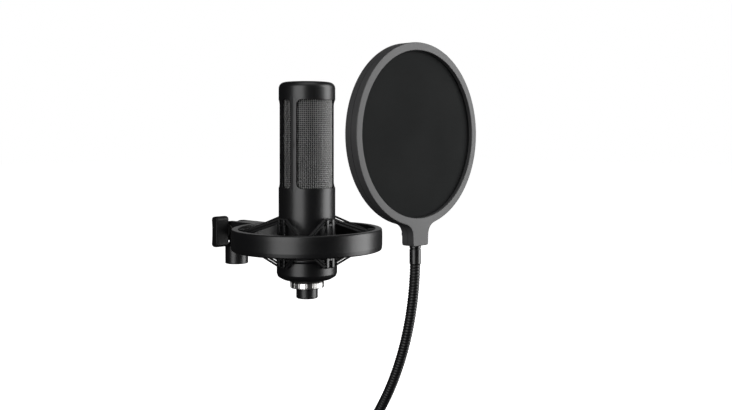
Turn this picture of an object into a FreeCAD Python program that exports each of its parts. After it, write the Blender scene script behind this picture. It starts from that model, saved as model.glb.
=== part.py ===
import FreeCAD, Part
import math
import os

import Sketcher

# A side-address condenser microphone in an elastic shock mount, with a pop filter on a gooseneck.
# The origin is the centre of the stand socket's mouth, +Z is up and -Y is the microphone's front.
# Every size is in millimetres and is driven by the sheet below.

doc = FreeCAD.newDocument("studio_microphone")
sheet = doc.addObject("Spreadsheet::Sheet", "dim")

SIZES = [
    # stand adapter and swivel
    ("adapter_radius", 11.0), ("adapter_height", 17.5), ("neck_radius", 6.5), ("shoulder_top", 21.0),
    ("bush_radius", 8.9), ("bush_length", 16.0), ("thread_radius", 7.5),
    ("pivot_height", 31.8), ("tongue_half", 3.8), ("tongue_round", 8.6), ("bolt_radius", 3.0),
    ("bolt_play", 0.05), ("ear_gap", 4.6), ("ear_outer", 9.2), ("ear_radius", 9.35),
    ("washer_thick", 0.7), ("washer_radius", 8.2), ("slot_depth", 10.6),
    # suspension ring
    ("mic_offset", 101.0), ("ring_outer", 66.6), ("ring_inner", 60.5), ("ring_low", 22.5),
    ("ring_high", 41.2), ("ring_round", 2.2), ("arm_low", 26.8), ("peg_inset", 5.9), ("peg_radius", 1.3),
    # cords
    ("cord_radius", 0.95), ("strand_gap", 1.3), ("cord_to_bar", 0.1), ("upper_cord_height", 49.0),
    ("lower_cord_height", 10.5), ("anchor_height", 32.5), ("anchor_step", 1.3), ("peg_above", 7.8), ("peg_below", 7.9), ("cord_turn", 2.6), ("cord_behind", 6.9),
    # cradle
    ("cup_play", 0.3), ("cup_wall", 1.4), ("cup_low", -5.0), ("cup_floor", 1.6), ("cup_rim", 13.2),
    ("flange_reach", 2.2), ("flange_top", 16.4), ("tail_hole", 10.3),
    ("bar_to_flange", 0.05), ("bar_depth", 1.6), ("bar_width", 2.6), ("bar_gap", 1.9),
    ("bar_low", 9.0), ("bar_high", 50.5),
    # microphone
    ("mic_radius", 25.0), ("mic_wall", 1.5), ("mic_low", 2.5), ("mic_top", 170.0), ("top_round", 5.5),
    ("window_low", 77.1), ("window_high", 153.8), ("window_share", 0.8988), ("window_round", 5.0),
    ("side_half", 5.6), ("side_round", 3.5), ("mesh_inset", 2.8), ("mesh_low", 72.5),
    ("mesh_high", 158.5), ("capsule_height", 120.0), ("capsule_share", 0.766), ("capsule_depth", 9.0),
    ("diaphragm_share", 0.753), ("rail_top", 96.0), ("tail_radius", 9.55), ("tail_bore", 8.1),
    ("tail_low", -20.5), ("pin_circle", 4.05), ("pin_radius", 1.2),
    ("lock_radius", 15.2), ("lock_play", 0.07), ("lock_height", 5.6), ("lock_washer", 0.5),
    # tilt knob
    ("knob_inner", 12.5), ("knob_length", 14.0), ("knob_thick", 9.3), ("knob_tall", 29.0), ("hub_radius", 6.5),
    # pop filter
    ("filter_reach", 227.0), ("filter_height", 123.7), ("filter_radius", 71.4), ("filter_opening", 65.1),
    ("filter_depth", 12.0), ("filter_split", 0.2), ("cloth_thick", 0.3), ("cloth_recess", 3.2),
    ("neck_top_width", 26.8), ("neck_low_width", 17.5), ("neck_low", 36.8), ("stem_radius", 2.5),
    ("ferrule_radius", 4.5), ("ferrule_low", 22.0),
    # gooseneck and its clamp
    ("hose_radius", 4.2), ("hose_start", 28.65), ("upper_bend", 237.0), ("upper_turn", 35.0),
    ("lower_bend", 130.0), ("link_gap", 0.6), ("link_count", 8), ("low_ferrule_start", -70.0),
    ("clamp_height", -162.7), ("clamp_tall", 16.0), ("jaw_radius", 10.0), ("jaw_back", 14.0),
    ("leg_thick", 8.0), ("screw_leg", -30.0), ("spine_front", -24.0), ("spine_back", -14.0),
    ("leg_reach", 13.0), ("pad_face", -10.5), ("screw_radius", 3.0),
]
# Radii that follow from the sizes above, each in the sheet as a formula of its own.
FORMULAS = [
    ("cup_bore", "=mic_radius + cup_play"), ("cup_radius", "=cup_bore + cup_wall"),
    ("flange_radius", "=cup_radius + flange_reach"), ("bar_inner", "=flange_radius + bar_to_flange"),
    ("post_cord_circle", "=bar_inner - cord_radius - cord_to_bar"),
    ("peg_circle", "=ring_inner - peg_inset"), ("window_half", "=window_share*mic_radius"),
    ("mesh_radius", "=mic_radius - mesh_inset"), ("collar_inner", "=mic_radius - 4.8"),
    ("chassis_radius", "=collar_inner - 0.4"), ("capsule_radius", "=capsule_share*mesh_radius"),
    ("diaphragm_radius", "=diaphragm_share*capsule_radius"),
]
value = {}
for row, (alias, number) in enumerate(SIZES, start=1):
    sheet.set(f"A{row}", alias)
    sheet.set(f"B{row}", str(number))
    sheet.setAlias(f"B{row}", alias)
    value[alias] = number
for row, (alias, formula) in enumerate(FORMULAS, start=len(SIZES) + 1):
    sheet.set(f"A{row}", alias)
    sheet.set(f"B{row}", formula)
    sheet.setAlias(f"B{row}", alias)
doc.recompute()
for alias, _ in FORMULAS:
    value[alias] = float(sheet.get(alias))

nodes = []


def bind(thing, **formulas):
    """Ties properties to sheet formulas."""
    for key, formula in formulas.items():
        thing.setExpression(key, formula)
    return thing


def put(thing, x="0", y="0", z="0"):
    """Ties a sub-part's position to sheet formulas."""
    for letter, formula in zip("xyz", (x, y, z)):
        if formula != "0":
            thing.setExpression(f"Placement.Base.{letter}", formula)
    return thing


def keep(thing, label):
    """Marks a finished sub-part for export under its label."""
    thing.Label = label
    nodes.append(thing)
    return thing


TURNS = {
    "z": FreeCAD.Rotation(),
    "x": FreeCAD.Rotation(FreeCAD.Vector(0, 1, 0), 90),
    "y": FreeCAD.Rotation(FreeCAD.Vector(1, 0, 0), -90),
}


def cylinder(radius, height, x="0", y="0", z="0", along="z"):
    """A cylinder that starts at a point and runs along a positive axis."""
    solid = doc.addObject("Part::Cylinder", "cylinder")
    solid.Placement.Rotation = TURNS[along]
    bind(solid, Radius=radius, Height=height)
    return put(solid, x, y, z)


def box(length, width, height, x="0", y="0", z="0"):
    """A box from its lowest corner."""
    solid = doc.addObject("Part::Box", "box")
    bind(solid, Length=length, Width=width, Height=height)
    return put(solid, x, y, z)


def fuse(*shapes):
    joined = doc.addObject("Part::MultiFuse", "joined")
    joined.Shapes = list(shapes)
    return joined


def cut(base, *tools):
    taken = doc.addObject("Part::Cut", "cut")
    taken.Base = base
    taken.Tool = tools[0] if len(tools) == 1 else fuse(*tools)
    return taken


def group(*shapes):
    """Separate solids that share one node."""
    bundle = doc.addObject("Part::Compound", "group")
    bundle.Links = list(shapes)
    return bundle


def rounded(base, radius, test):
    """Rounds each edge that passes the test."""
    doc.recompute()
    smooth = doc.addObject("Part::Fillet", "rounded")
    smooth.Base = base
    chosen = [i for i, edge in enumerate(base.Shape.Edges, start=1) if test(edge)]
    smooth.Edges = [(i, radius, radius) for i in chosen]
    return smooth


def outline(body, plane, corners):
    """A closed sketch on one of a body's own planes. Corners are pairs of formulas from its origin."""
    sketch = body.newObject("Sketcher::SketchObject", "outline")
    home = [p for p in body.Origin.OriginFeatures if p.Role == plane][0]
    sketch.AttachmentSupport = [(home, "")]
    sketch.MapMode = "FlatFace"
    count = len(corners)
    rough = [
        FreeCAD.Vector(40 + 20 * math.cos(math.tau * i / count), 40 + 20 * math.sin(math.tau * i / count), 0)
        for i in range(count)
    ]
    for i in range(count):
        sketch.addGeometry(Part.LineSegment(rough[i], rough[(i + 1) % count]))
    for i in range(count):
        sketch.addConstraint(Sketcher.Constraint("Coincident", i, 2, (i + 1) % count, 1))
    for i, (across, up) in enumerate(corners):
        for kind, formula, axis, start in (
            ("DistanceX", across, -2, rough[i].x),
            ("DistanceY", up, -1, rough[i].y),
        ):
            if formula == "0":
                sketch.addConstraint(Sketcher.Constraint("PointOnObject", i, 1, axis))
                continue
            number = sketch.addConstraint(Sketcher.Constraint(kind, -1, 1, i, 1, start))
            sketch.setExpression(f"Constraints[{number}]", formula)
    return sketch


def revolved(corners, x="0", y="0", z="0"):
    """A body turned about its own Z axis. Corners are (radius, height) formulas, heights from z."""
    body = doc.addObject("PartDesign::Body", "turned")
    sketch = outline(body, "XZ_Plane", corners)
    turned = body.newObject("PartDesign::Revolution", "revolution")
    turned.Profile = sketch
    turned.ReferenceAxis = (sketch, ["V_Axis"])
    turned.Angle = 360
    body.Tip = turned
    return put(body, x, y, z)


def slab(plane, corners, depth, x="0", y="0", z="0"):
    """A body padded from an outline on one of its own planes."""
    body = doc.addObject("PartDesign::Body", "slab")
    pad = body.newObject("PartDesign::Pad", "pad")
    sketch = outline(body, plane, corners)
    pad.Profile = sketch
    pad.setExpression("Length", depth)
    body.Tip = pad
    return put(body, x, y, z)


def around(maker, count, centre_y, first=0.0):
    """Copies of one solid turned about a vertical axis on the centre line."""
    copies = []
    for i in range(count):
        copy = maker()
        turn = FreeCAD.Rotation(FreeCAD.Vector(0, 0, 1), first + 360.0 * i / count)
        holder = doc.addObject("Part::Compound", "copy")
        holder.Links = [copy]
        holder.Placement.Rotation = turn
        put(holder, y=centre_y)
        copies.append(holder)
    return copies


MIC_Y = "-dim.mic_offset"


# ---- Stand adapter: a turned tube that takes the stand's thread, with a flat tongue on top.
def stand_adapter():
    tube = revolved(
        [
            ("dim.bush_radius", "0"), ("dim.adapter_radius - 0.6", "0"), ("dim.adapter_radius", "0.6"),
            ("dim.adapter_radius", "dim.adapter_height"), ("dim.neck_radius", "dim.shoulder_top"),
            ("0", "dim.shoulder_top"), ("0", "dim.bush_length"), ("dim.bush_radius", "dim.bush_length"),
        ]
    )
    stem = box(
        "2*dim.tongue_half", "2*dim.neck_radius", "dim.pivot_height - dim.shoulder_top + 1",
        "-dim.tongue_half", "-dim.neck_radius", "dim.shoulder_top - 1",
    )
    eye = cylinder("dim.tongue_round", "2*dim.tongue_half", "-dim.tongue_half", "0", "dim.pivot_height", "x")
    hole = cylinder("dim.bolt_radius + dim.bolt_play", "40", "-20", "0", "dim.pivot_height", "x")
    keep(cut(fuse(tube, stem, eye), hole), "adapter_tube")
    sleeve = cylinder("dim.bush_radius - 0.02", "dim.bush_length - 0.05")
    thread = cylinder("dim.thread_radius", "dim.bush_length + 2", z="-1")
    keep(cut(sleeve, thread), "thread_bush")


# ---- Suspension ring: a deep flat hoop with an arm and two ears that straddle the adapter's tongue.
def suspension_ring():
    hoop = cut(
        cylinder("dim.ring_outer", "dim.ring_high - dim.ring_low", "0", MIC_Y, "dim.ring_low"),
        cylinder("dim.ring_inner", "60", "0", MIC_Y, "0"),
    )
    outer = value["ring_outer"]

    def rim(edge):
        return edge.Curve.TypeId == "Part::GeomCircle" and abs(edge.Curve.Radius - outer) < 0.01

    hoop = rounded(hoop, value["ring_round"], rim)
    arm = box(
        "2*dim.ear_outer", "dim.mic_offset - dim.ring_outer + 2.5", "dim.ring_high - dim.arm_low",
        "-dim.ear_outer", "-dim.mic_offset + dim.ring_outer - 2.5", "dim.arm_low",
    )
    ears = cylinder("dim.ear_radius", "2*dim.ear_outer", "-dim.ear_outer", "0", "dim.pivot_height", "x")
    slot = box("2*dim.ear_gap", "40", "60", "-dim.ear_gap", "-dim.slot_depth", "0")
    hole = cylinder("dim.bolt_radius + 0.1", "40", "-20", "0", "dim.pivot_height", "x")
    keep(cut(fuse(hoop, arm, ears), slot, hole), "suspension_ring")


def anchor_pegs():
    """Four upright pegs on brackets inside the ring, which the elastic cords pass behind."""

    def peg():
        circle = "dim.peg_circle"
        pin = cylinder("dim.peg_radius", "dim.peg_above + dim.peg_below", circle, "0",
                       "dim.anchor_height - dim.peg_below")
        parts = [pin]
        for level in ("- dim.peg_below", "+ dim.peg_above - 1.3"):
            foot = box(
                "dim.peg_inset - 0.15", "3", "1.3", circle, "-1.5", f"dim.anchor_height {level}",
            )
            parts.append(foot)
        return fuse(*parts)

    keep(group(*around(peg, 4, MIC_Y, 45)), "anchor_pegs")


def pivot_parts():
    """The pivot bolt with its hexagon head, and two friction washers beside the tongue."""
    shank = cylinder("dim.bolt_radius", "dim.ear_outer + 22", "-22", "0", "dim.pivot_height", "x")
    head = doc.addObject("Part::Prism", "head")
    head.Polygon = 6
    head.Circumradius = 5.6
    head.Height = 4
    head.Placement.Rotation = TURNS["x"]
    put(head, "dim.ear_outer + 0.02", "0", "dim.pivot_height")
    keep(fuse(shank, head), "pivot_bolt")
    washers = []
    for x in ("-dim.tongue_half - 0.05 - dim.washer_thick", "dim.tongue_half + 0.05"):
        disc = cylinder("dim.washer_radius", "dim.washer_thick", x, "0", "dim.pivot_height", "x")
        hole = cylinder("dim.bolt_radius + 0.1", "40", "-20", "0", "dim.pivot_height", "x")
        washers.append(cut(disc, hole))
    keep(group(*washers), "friction_washers")


# ---- Tilt knob: a paddle with a round hub on the bolt's threaded end, and a thin washer under it.
def tilt_knob():
    washer = cut(
        cylinder("6", "0.8", "-dim.ear_outer - 0.85", "0", "dim.pivot_height", "x"),
        cylinder("dim.bolt_radius + 0.06", "40", "-30", "0", "dim.pivot_height", "x"),
    )
    keep(washer, "knob_washer")
    paddle = box(
        "dim.knob_length", "dim.knob_thick", "dim.knob_tall", "-dim.knob_inner - dim.knob_length",
        "-dim.knob_thick/2", "dim.pivot_height - dim.knob_tall/2",
    )
    paddle = rounded(paddle, 1.8, lambda edge: True)
    hub = cylinder("dim.hub_radius", "dim.knob_inner - dim.ear_outer + 1", "-dim.knob_inner - 2",
                   "0", "dim.pivot_height", "x")
    hole = cylinder("3.95", "15", "-24", "0", "dim.pivot_height", "x")
    keep(cut(fuse(paddle, hub), hole), "tilt_knob")
    insert = cut(
        cylinder("3.9", "13.35", "-23.5", "0", "dim.pivot_height", "x"),
        cylinder("dim.bolt_radius + dim.bolt_play", "15", "-24", "0", "dim.pivot_height", "x"),
    )
    keep(insert, "knob_insert")


# ---- Cradle: a turned cup with a flange, and four posts of two flat bars each around it.
def cradle_cup():
    cup = revolved(
        [
            ("dim.tail_hole", "0"), ("15.5", "0"), ("dim.cup_radius - 5.1", "1.6"),
            ("dim.cup_radius - 1.4", "4.1"), ("dim.cup_radius", "7.4"),
            ("dim.cup_radius", "dim.cup_rim - dim.cup_low"), ("dim.flange_radius", "dim.cup_rim + 1.4 - dim.cup_low"),
            ("dim.flange_radius", "dim.flange_top - dim.cup_low"), ("dim.cup_bore", "dim.flange_top - dim.cup_low"),
            ("dim.cup_bore", "dim.cup_floor - dim.cup_low"), ("dim.tail_hole", "dim.cup_floor - dim.cup_low"),
        ],
        y=MIC_Y, z="dim.cup_low",
    )
    keep(cup, "cradle_cup")
    felt = revolved(
        [
            ("dim.tail_hole + 0.3", "0"), ("dim.cup_bore - 0.5", "0"),
            ("dim.cup_bore - 0.5", "0.8"), ("dim.tail_hole + 0.3", "0.8"),
        ],
        y=MIC_Y, z="dim.cup_floor + 0.03",
    )
    keep(felt, "felt_seat")


def cradle_posts():
    def post():
        bars = [
            box("dim.bar_depth", "dim.bar_width", "dim.bar_high - dim.bar_low", "dim.bar_inner", side, "dim.bar_low")
            for side in ("dim.bar_gap", "-dim.bar_gap - dim.bar_width")
        ]
        wide = "2*(dim.bar_gap + dim.bar_width)"
        left = "-dim.bar_gap - dim.bar_width"
        saddle = box("3.4", wide, "1.6", "dim.bar_inner - 1.9", left, "44.6")
        foot = box("dim.bar_depth", wide, "2.8", "dim.bar_inner", left, "14.8")
        return fuse(*bars, saddle, foot)

    keep(group(*around(post, 4, MIC_Y)), "cradle_posts")


# ---- Elastic cords: two closed strands above and two below, woven between the posts and the pegs.
def rounded_path(corners, radius):
    """A closed run of straight lines joined by tangent arcs."""
    count = len(corners)
    cuts = []
    for i in range(count):
        here = corners[i]
        back = (corners[i - 1] - here).normalize()
        ahead = (corners[(i + 1) % count] - here).normalize()
        half = back.getAngle(ahead) / 2
        middle = (back + ahead).normalize()
        centre = here + middle * (radius / math.sin(half))
        reach = radius / math.tan(half)
        top = centre - middle * radius
        cuts.append((here + back * reach, top, here + ahead * reach))
    edges = []
    for i in range(count):
        start, top, end = cuts[i]
        edges.append(Part.Arc(start, top, end).toShape())
        edges.append(Part.LineSegment(end, cuts[(i + 1) % count][0]).toShape())
    return Part.Wire(edges)


def cord_loop(post_height, anchor_height):
    """One strand, passing inside each post's bars and behind each ring peg."""
    side = value["bar_gap"] + value["bar_width"] + 0.5
    behind = value["peg_circle"] + value["cord_behind"]
    corners = []
    for i in range(4):
        turn = FreeCAD.Rotation(FreeCAD.Vector(0, 0, 1), 90.0 * i)
        for across in (-side, side):
            corners.append(turn.multVec(FreeCAD.Vector(value["post_cord_circle"], across, post_height)))
        turn = FreeCAD.Rotation(FreeCAD.Vector(0, 0, 1), 90.0 * i + 45)
        corners.append(turn.multVec(FreeCAD.Vector(behind, 0, anchor_height)))
    path = rounded_path(corners, value["cord_turn"])
    first = path.Edges[1]
    start = first.valueAt(first.FirstParameter)
    way = first.tangentAt(first.FirstParameter)
    section = Part.Wire(Part.makeCircle(value["cord_radius"], start, way))
    ordered = Part.Wire(path.Edges[1:] + path.Edges[:1])
    return ordered.makePipeShell([section], True, False)


def elastic_cords():
    for label, post_height, sign in (
        ("upper_cord", value["upper_cord_height"], 1),
        ("lower_cord", value["lower_cord_height"], -1),
    ):
        strands = []
        middle = value["anchor_height"] + sign * value["anchor_step"]
        for step in (-value["strand_gap"], value["strand_gap"]):
            strands.append(cord_loop(post_height + step, middle + step))
        cords = doc.addObject("Part::Feature", label)
        cords.Shape = Part.makeCompound(strands)
        put(cords, y=MIC_Y)
        keep(cords, label)


# ---- Microphone body: a thin tube closed at the top, with two wide and two narrow windows.
def body_tube():
    tall = "dim.mic_top - dim.mic_low"
    tube = revolved(
        [
            ("dim.mic_radius - dim.mic_wall", "0"), ("dim.mic_radius", "0"),
            ("dim.mic_radius", tall + " - dim.top_round"),
            ("dim.mic_radius - 0.134*dim.top_round", tall + " - dim.top_round/2"),
            ("dim.mic_radius - dim.top_round/2", tall + " - 0.134*dim.top_round"),
            ("dim.mic_radius - dim.top_round", tall), ("0", tall),
            ("0", tall + " - 2.2"), ("dim.mic_radius - dim.top_round - 0.4", tall + " - 2.2"),
            ("dim.mic_radius - dim.mic_wall", tall + " - dim.top_round"),
        ],
        y=MIC_Y, z="dim.mic_low",
    )
    high = "dim.window_high - dim.window_low"
    wide = box("2*dim.window_half", "80", high, "-dim.window_half", MIC_Y + " - 40", "dim.window_low")
    narrow = box("80", "2*dim.side_half", high, "-40", MIC_Y + " - dim.side_half", "dim.window_low")

    def along(axis):
        def test(edge):
            way = edge.tangentAt(edge.FirstParameter)
            return abs(abs(way[axis]) - 1) < 1e-6

        return test

    wide = rounded(wide, value["window_round"], along(1))
    narrow = rounded(narrow, value["side_round"], along(0))
    keep(cut(tube, wide, narrow), "body_tube")


def tube_part(label, outer, inner, low, high):
    """A plain ring or tube about the microphone's axis."""
    body = revolved(
        [(inner, "0"), (outer, "0"), (outer, f"{high} - ({low})"), (inner, f"{high} - ({low})")],
        y=MIC_Y, z=low,
    )
    return keep(body, label)


def grille():
    tube_part("grille_mesh", "dim.mesh_radius", "dim.mesh_radius - 0.6", "dim.mesh_low", "dim.mesh_high")
    tube_part("inner_mesh", "dim.mesh_radius - 1.2", "dim.mesh_radius - 1.5", "dim.mesh_low", "dim.mesh_high")
    tube_part("lower_collar", "dim.mic_radius - dim.mic_wall - 0.05", "dim.collar_inner", "dim.mesh_low - 5", "dim.mesh_low - 0.05")
    tube_part("upper_collar", "dim.mic_radius - dim.mic_wall - 0.05", "dim.collar_inner", "dim.mesh_high + 0.05",
              "dim.mesh_high + 5")


# ---- Capsule: a brass ring with a drilled backplate between two thin gold diaphragms, on a rubber saddle.
def capsule():
    def disc(radius, depth, start):
        return cylinder(radius, depth, "0", f"-dim.mic_offset + {start}", "dim.capsule_height", "y")

    ring = cut(
        disc("dim.capsule_radius", "dim.capsule_depth", "-dim.capsule_depth/2"),
        disc("dim.diaphragm_radius", "30", "-15"),
    )
    keep(ring, "capsule_ring")
    keep(disc("dim.diaphragm_radius - 0.05", "dim.capsule_depth - 2.4", "-dim.capsule_depth/2 + 1.2"), "backplate")
    keep(disc("dim.diaphragm_radius - 0.05", "0.1", "-dim.capsule_depth/2 + 0.8"), "front_diaphragm")
    keep(disc("dim.diaphragm_radius - 0.05", "0.1", "dim.capsule_depth/2 - 0.9"), "rear_diaphragm")
    block = box("20", "12", "dim.capsule_height - dim.rail_top - 2.1", "-10", MIC_Y + " - 6", "dim.rail_top + 2.05")
    hollow = cylinder("dim.capsule_radius + 0.05", "30", "0", MIC_Y + " - 15", "dim.capsule_height", "y")
    keep(cut(block, hollow), "capsule_saddle")


# ---- Chassis: two rails and a top plate that carry the circuit board, transformer and capacitors.
def chassis():
    rails = [
        box("3", "10", "dim.rail_top - 8.6", x, MIC_Y + " - 5", "8.6")
        for x in ("-dim.chassis_radius + 1.8", "dim.chassis_radius - 4.8")
    ]
    plate = cylinder("dim.chassis_radius", "2", "0", MIC_Y, "dim.rail_top - 0.001")
    keep(fuse(*rails, plate), "chassis")
    keep(box("2*dim.chassis_radius - 9.8", "1.6", "70", "-dim.chassis_radius + 4.9", MIC_Y + " - 0.8", "16"), "circuit_board")
    keep(box("18", "13", "20", "-9", MIC_Y + " + 0.9", "18"), "output_transformer")
    cans = [
        cylinder(radius, "11", x, "-dim.mic_offset - 11.9", z, "y")
        for radius, x, z in (("4", "-6", "30"), ("4", "3", "30"), ("2.5", "dim.chassis_radius - 9", "48"), ("2.5", "-7", "50"))
    ]
    keep(group(*cans), "capacitors")


# ---- Base: a floor plate, the threaded tail that is also the connector shell, and the connector's parts.
def base():
    tube_part("base_plate", "dim.mic_radius - dim.mic_wall - 0.05", "dim.tail_radius + 0.05", "dim.mic_low + 0.6",
              "dim.mic_low + 3.6")
    tail = revolved(
        [
            ("dim.tail_bore", "0"), ("dim.tail_radius - 0.8", "0"), ("dim.tail_radius", "0.8"),
            ("dim.tail_radius", "dim.mic_low + 3.65 - dim.tail_low"), ("13", "dim.mic_low + 3.65 - dim.tail_low"),
            ("13", "dim.mic_low + 5.4 - dim.tail_low"), ("dim.tail_bore", "dim.mic_low + 5.4 - dim.tail_low"),
        ],
        y=MIC_Y, z="dim.tail_low",
    )
    keep(tail, "connector_shell")
    insert = cylinder("dim.tail_bore - 0.05", "6", "0", MIC_Y, "dim.tail_low + 12")

    def pin_at(angle, radius, height, low):
        x = f"dim.pin_circle*sin({angle})"
        y = f"-dim.mic_offset - dim.pin_circle*cos({angle})"
        return cylinder(radius, height, x, y, low)

    angles = ("60", "180", "300")
    holes = [pin_at(a, "dim.pin_radius + 0.03", "20", "dim.tail_low + 5") for a in angles]
    keep(cut(insert, *holes), "connector_insert")
    pins = [pin_at(a, "dim.pin_radius", "19", "dim.tail_low + 2.2") for a in angles]
    keep(group(*pins), "connector_pins")

    def screw():
        shank = cylinder("0.9", "3", "11.3", "0", "dim.mic_low + 5.5")
        return shank

    keep(group(*around(screw, 3, MIC_Y, 30)), "base_screws")


def lock_ring():
    """The nut ring that holds the microphone in the cup, and the thin washer above it."""
    tube_part("lock_washer", "13.8", "dim.tail_radius + dim.lock_play", "dim.cup_low - dim.lock_washer - 0.02",
              "dim.cup_low - 0.02")
    top = "dim.cup_low - dim.lock_washer - 0.05"
    nut = revolved(
        [
            ("dim.tail_radius + dim.lock_play", "0"), ("dim.lock_radius - 0.7", "0"), ("dim.lock_radius", "0.7"),
            ("dim.lock_radius", "dim.lock_height - 0.7"), ("dim.lock_radius - 0.7", "dim.lock_height"),
            ("dim.tail_radius + dim.lock_play", "dim.lock_height"),
        ],
        y=MIC_Y, z=top + " - dim.lock_height",
    )
    keep(nut, "lock_ring")


# ---- Pop filter: two half frames with a short neck, two cloths and the screws that close them.
def filter_half(front):
    half = "dim.filter_depth/2 - dim.filter_split"
    start = "-dim.filter_reach" + (" - dim.filter_depth/2" if front else " + dim.filter_split")
    hoop = cylinder("dim.filter_radius", half, "0", start, "dim.filter_height", "y")
    hole = cylinder("dim.filter_opening", "60", "0", "-dim.filter_reach - 30", "dim.filter_height", "y")
    side = "(dim.neck_top_width - dim.neck_low_width)/2"
    deep = "(dim.filter_height - dim.filter_radius + 3 - dim.neck_low)"
    corners = [
        (side, "0"), (side + " + dim.neck_low_width", "0"), (side + " + dim.neck_low_width", "4"),
        ("dim.neck_top_width - 2.6", deep + " - 6"), ("dim.neck_top_width", deep), ("0", deep),
        ("2.6", deep + " - 6"), (side, "4"),
    ]
    neck = slab("XZ_Plane", corners, half, "-dim.neck_top_width/2", f"{start} + ({half})", "dim.neck_low")
    stem = cylinder("dim.stem_radius + 0.06", "13", "0", "-dim.filter_reach", "dim.neck_low - 1")
    screws = [
        cylinder("1.35", "60", x, "-dim.filter_reach - 5", "dim.neck_low + 9", "y") for x in ("-6.2", "6.2")
    ]
    body = cut(fuse(cut(hoop, hole), neck), stem, *screws)
    return keep(body, "filter_front_frame" if front else "filter_rear_frame")


def pop_filter():
    filter_half(True)
    filter_half(False)
    for label, start in (
        ("front_cloth", "-dim.filter_reach - dim.filter_depth/2 + dim.cloth_recess"),
        ("rear_cloth", "-dim.filter_reach + dim.filter_depth/2 - dim.cloth_recess - dim.cloth_thick"),
    ):
        keep(cylinder("dim.filter_opening - 0.02", "dim.cloth_thick", "0", start, "dim.filter_height", "y"), label)
    screws = []
    for x in ("-6.2", "6.2"):
        shank = cylinder("1.3", "dim.filter_depth/2 + 4.6", x, "-dim.filter_reach - 4.6", "dim.neck_low + 9", "y")
        head = cylinder("2.4", "1.3", x, "-dim.filter_reach + dim.filter_depth/2 + 0.02", "dim.neck_low + 9", "y")
        screws.append(fuse(shank, head))
    keep(group(*screws), "filter_screws")
    ferrule = cylinder("dim.ferrule_radius", "dim.neck_low - dim.ferrule_low - 0.1", "0", "-dim.filter_reach",
                       "dim.ferrule_low")
    stem = cylinder("dim.stem_radius", "11.5", "0", "-dim.filter_reach", "dim.neck_low - 0.2")
    keep(fuse(ferrule, stem), "upper_ferrule")


# ---- Gooseneck: a round hose in eight links along two arcs, which bend at the gaps between them.
def hose_point(run):
    """The point and downward slope, in the side plane, this far along the hose from its top."""
    upper, lower = value["upper_bend"], value["lower_bend"]
    turn = math.radians(value["upper_turn"])
    y, z = -value["filter_reach"], value["hose_start"]
    if run <= 0:
        return y, z - run, 0.0
    if run <= upper * turn:
        slope = run / upper
        return y + upper * (1 - math.cos(slope)), z - upper * math.sin(slope), slope
    y, z = y + upper * (1 - math.cos(turn)), z - upper * math.sin(turn)
    rest = run - upper * turn
    if rest <= lower * (math.pi / 2 - turn):
        slope = turn + rest / lower
        return y + lower * (math.cos(turn) - math.cos(slope)), z - lower * (math.sin(slope) - math.sin(turn)), slope
    y, z = y + lower * math.cos(turn), z - lower * (1 - math.sin(turn))
    return y + rest - lower * (math.pi / 2 - turn), z, math.pi / 2


def hose_piece(start, end):
    """One swept length of the hose, from lines and arcs that meet smoothly."""
    upper = value["upper_bend"] * math.radians(value["upper_turn"])
    lower = upper + value["lower_bend"] * math.radians(90 - value["upper_turn"])
    stops = [start] + [s for s in (0.0, upper, lower) if start + 0.01 < s < end - 0.01] + [end]
    edges = []
    for a, b in zip(stops, stops[1:]):
        p, q, r = (FreeCAD.Vector(0, *hose_point(s)[:2]) for s in (a, (a + b) / 2, b))
        straight = b <= 0.01 or a >= lower - 0.01
        edges.append(Part.LineSegment(p, r).toShape() if straight else Part.Arc(p, q, r).toShape())
    y, z, slope = hose_point(start)
    way = FreeCAD.Vector(0, math.sin(slope), -math.cos(slope))
    section = Part.Wire(Part.makeCircle(value["hose_radius"], FreeCAD.Vector(0, y, z), way))
    return Part.Wire(edges).makePipeShell([section], True, False)


def gooseneck():
    count = int(value["link_count"])
    first = value["hose_start"] - value["ferrule_low"] + 0.2
    lower = value["upper_bend"] * math.radians(value["upper_turn"]) + value["lower_bend"] * math.radians(
        90 - value["upper_turn"]
    )
    flat_from = hose_point(lower)[0]
    last = lower + value["low_ferrule_start"] - flat_from - 0.05
    for i in range(count):
        start = first + (last - first) * i / count + (value["link_gap"] / 2 if i else 0)
        end = first + (last - first) * (i + 1) / count - (value["link_gap"] / 2 if i < count - 1 else 0)
        link = doc.addObject("Part::Feature", "link")
        link.Shape = hose_piece(start, end)
        keep(link, f"neck_link_{i + 1}")


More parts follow.
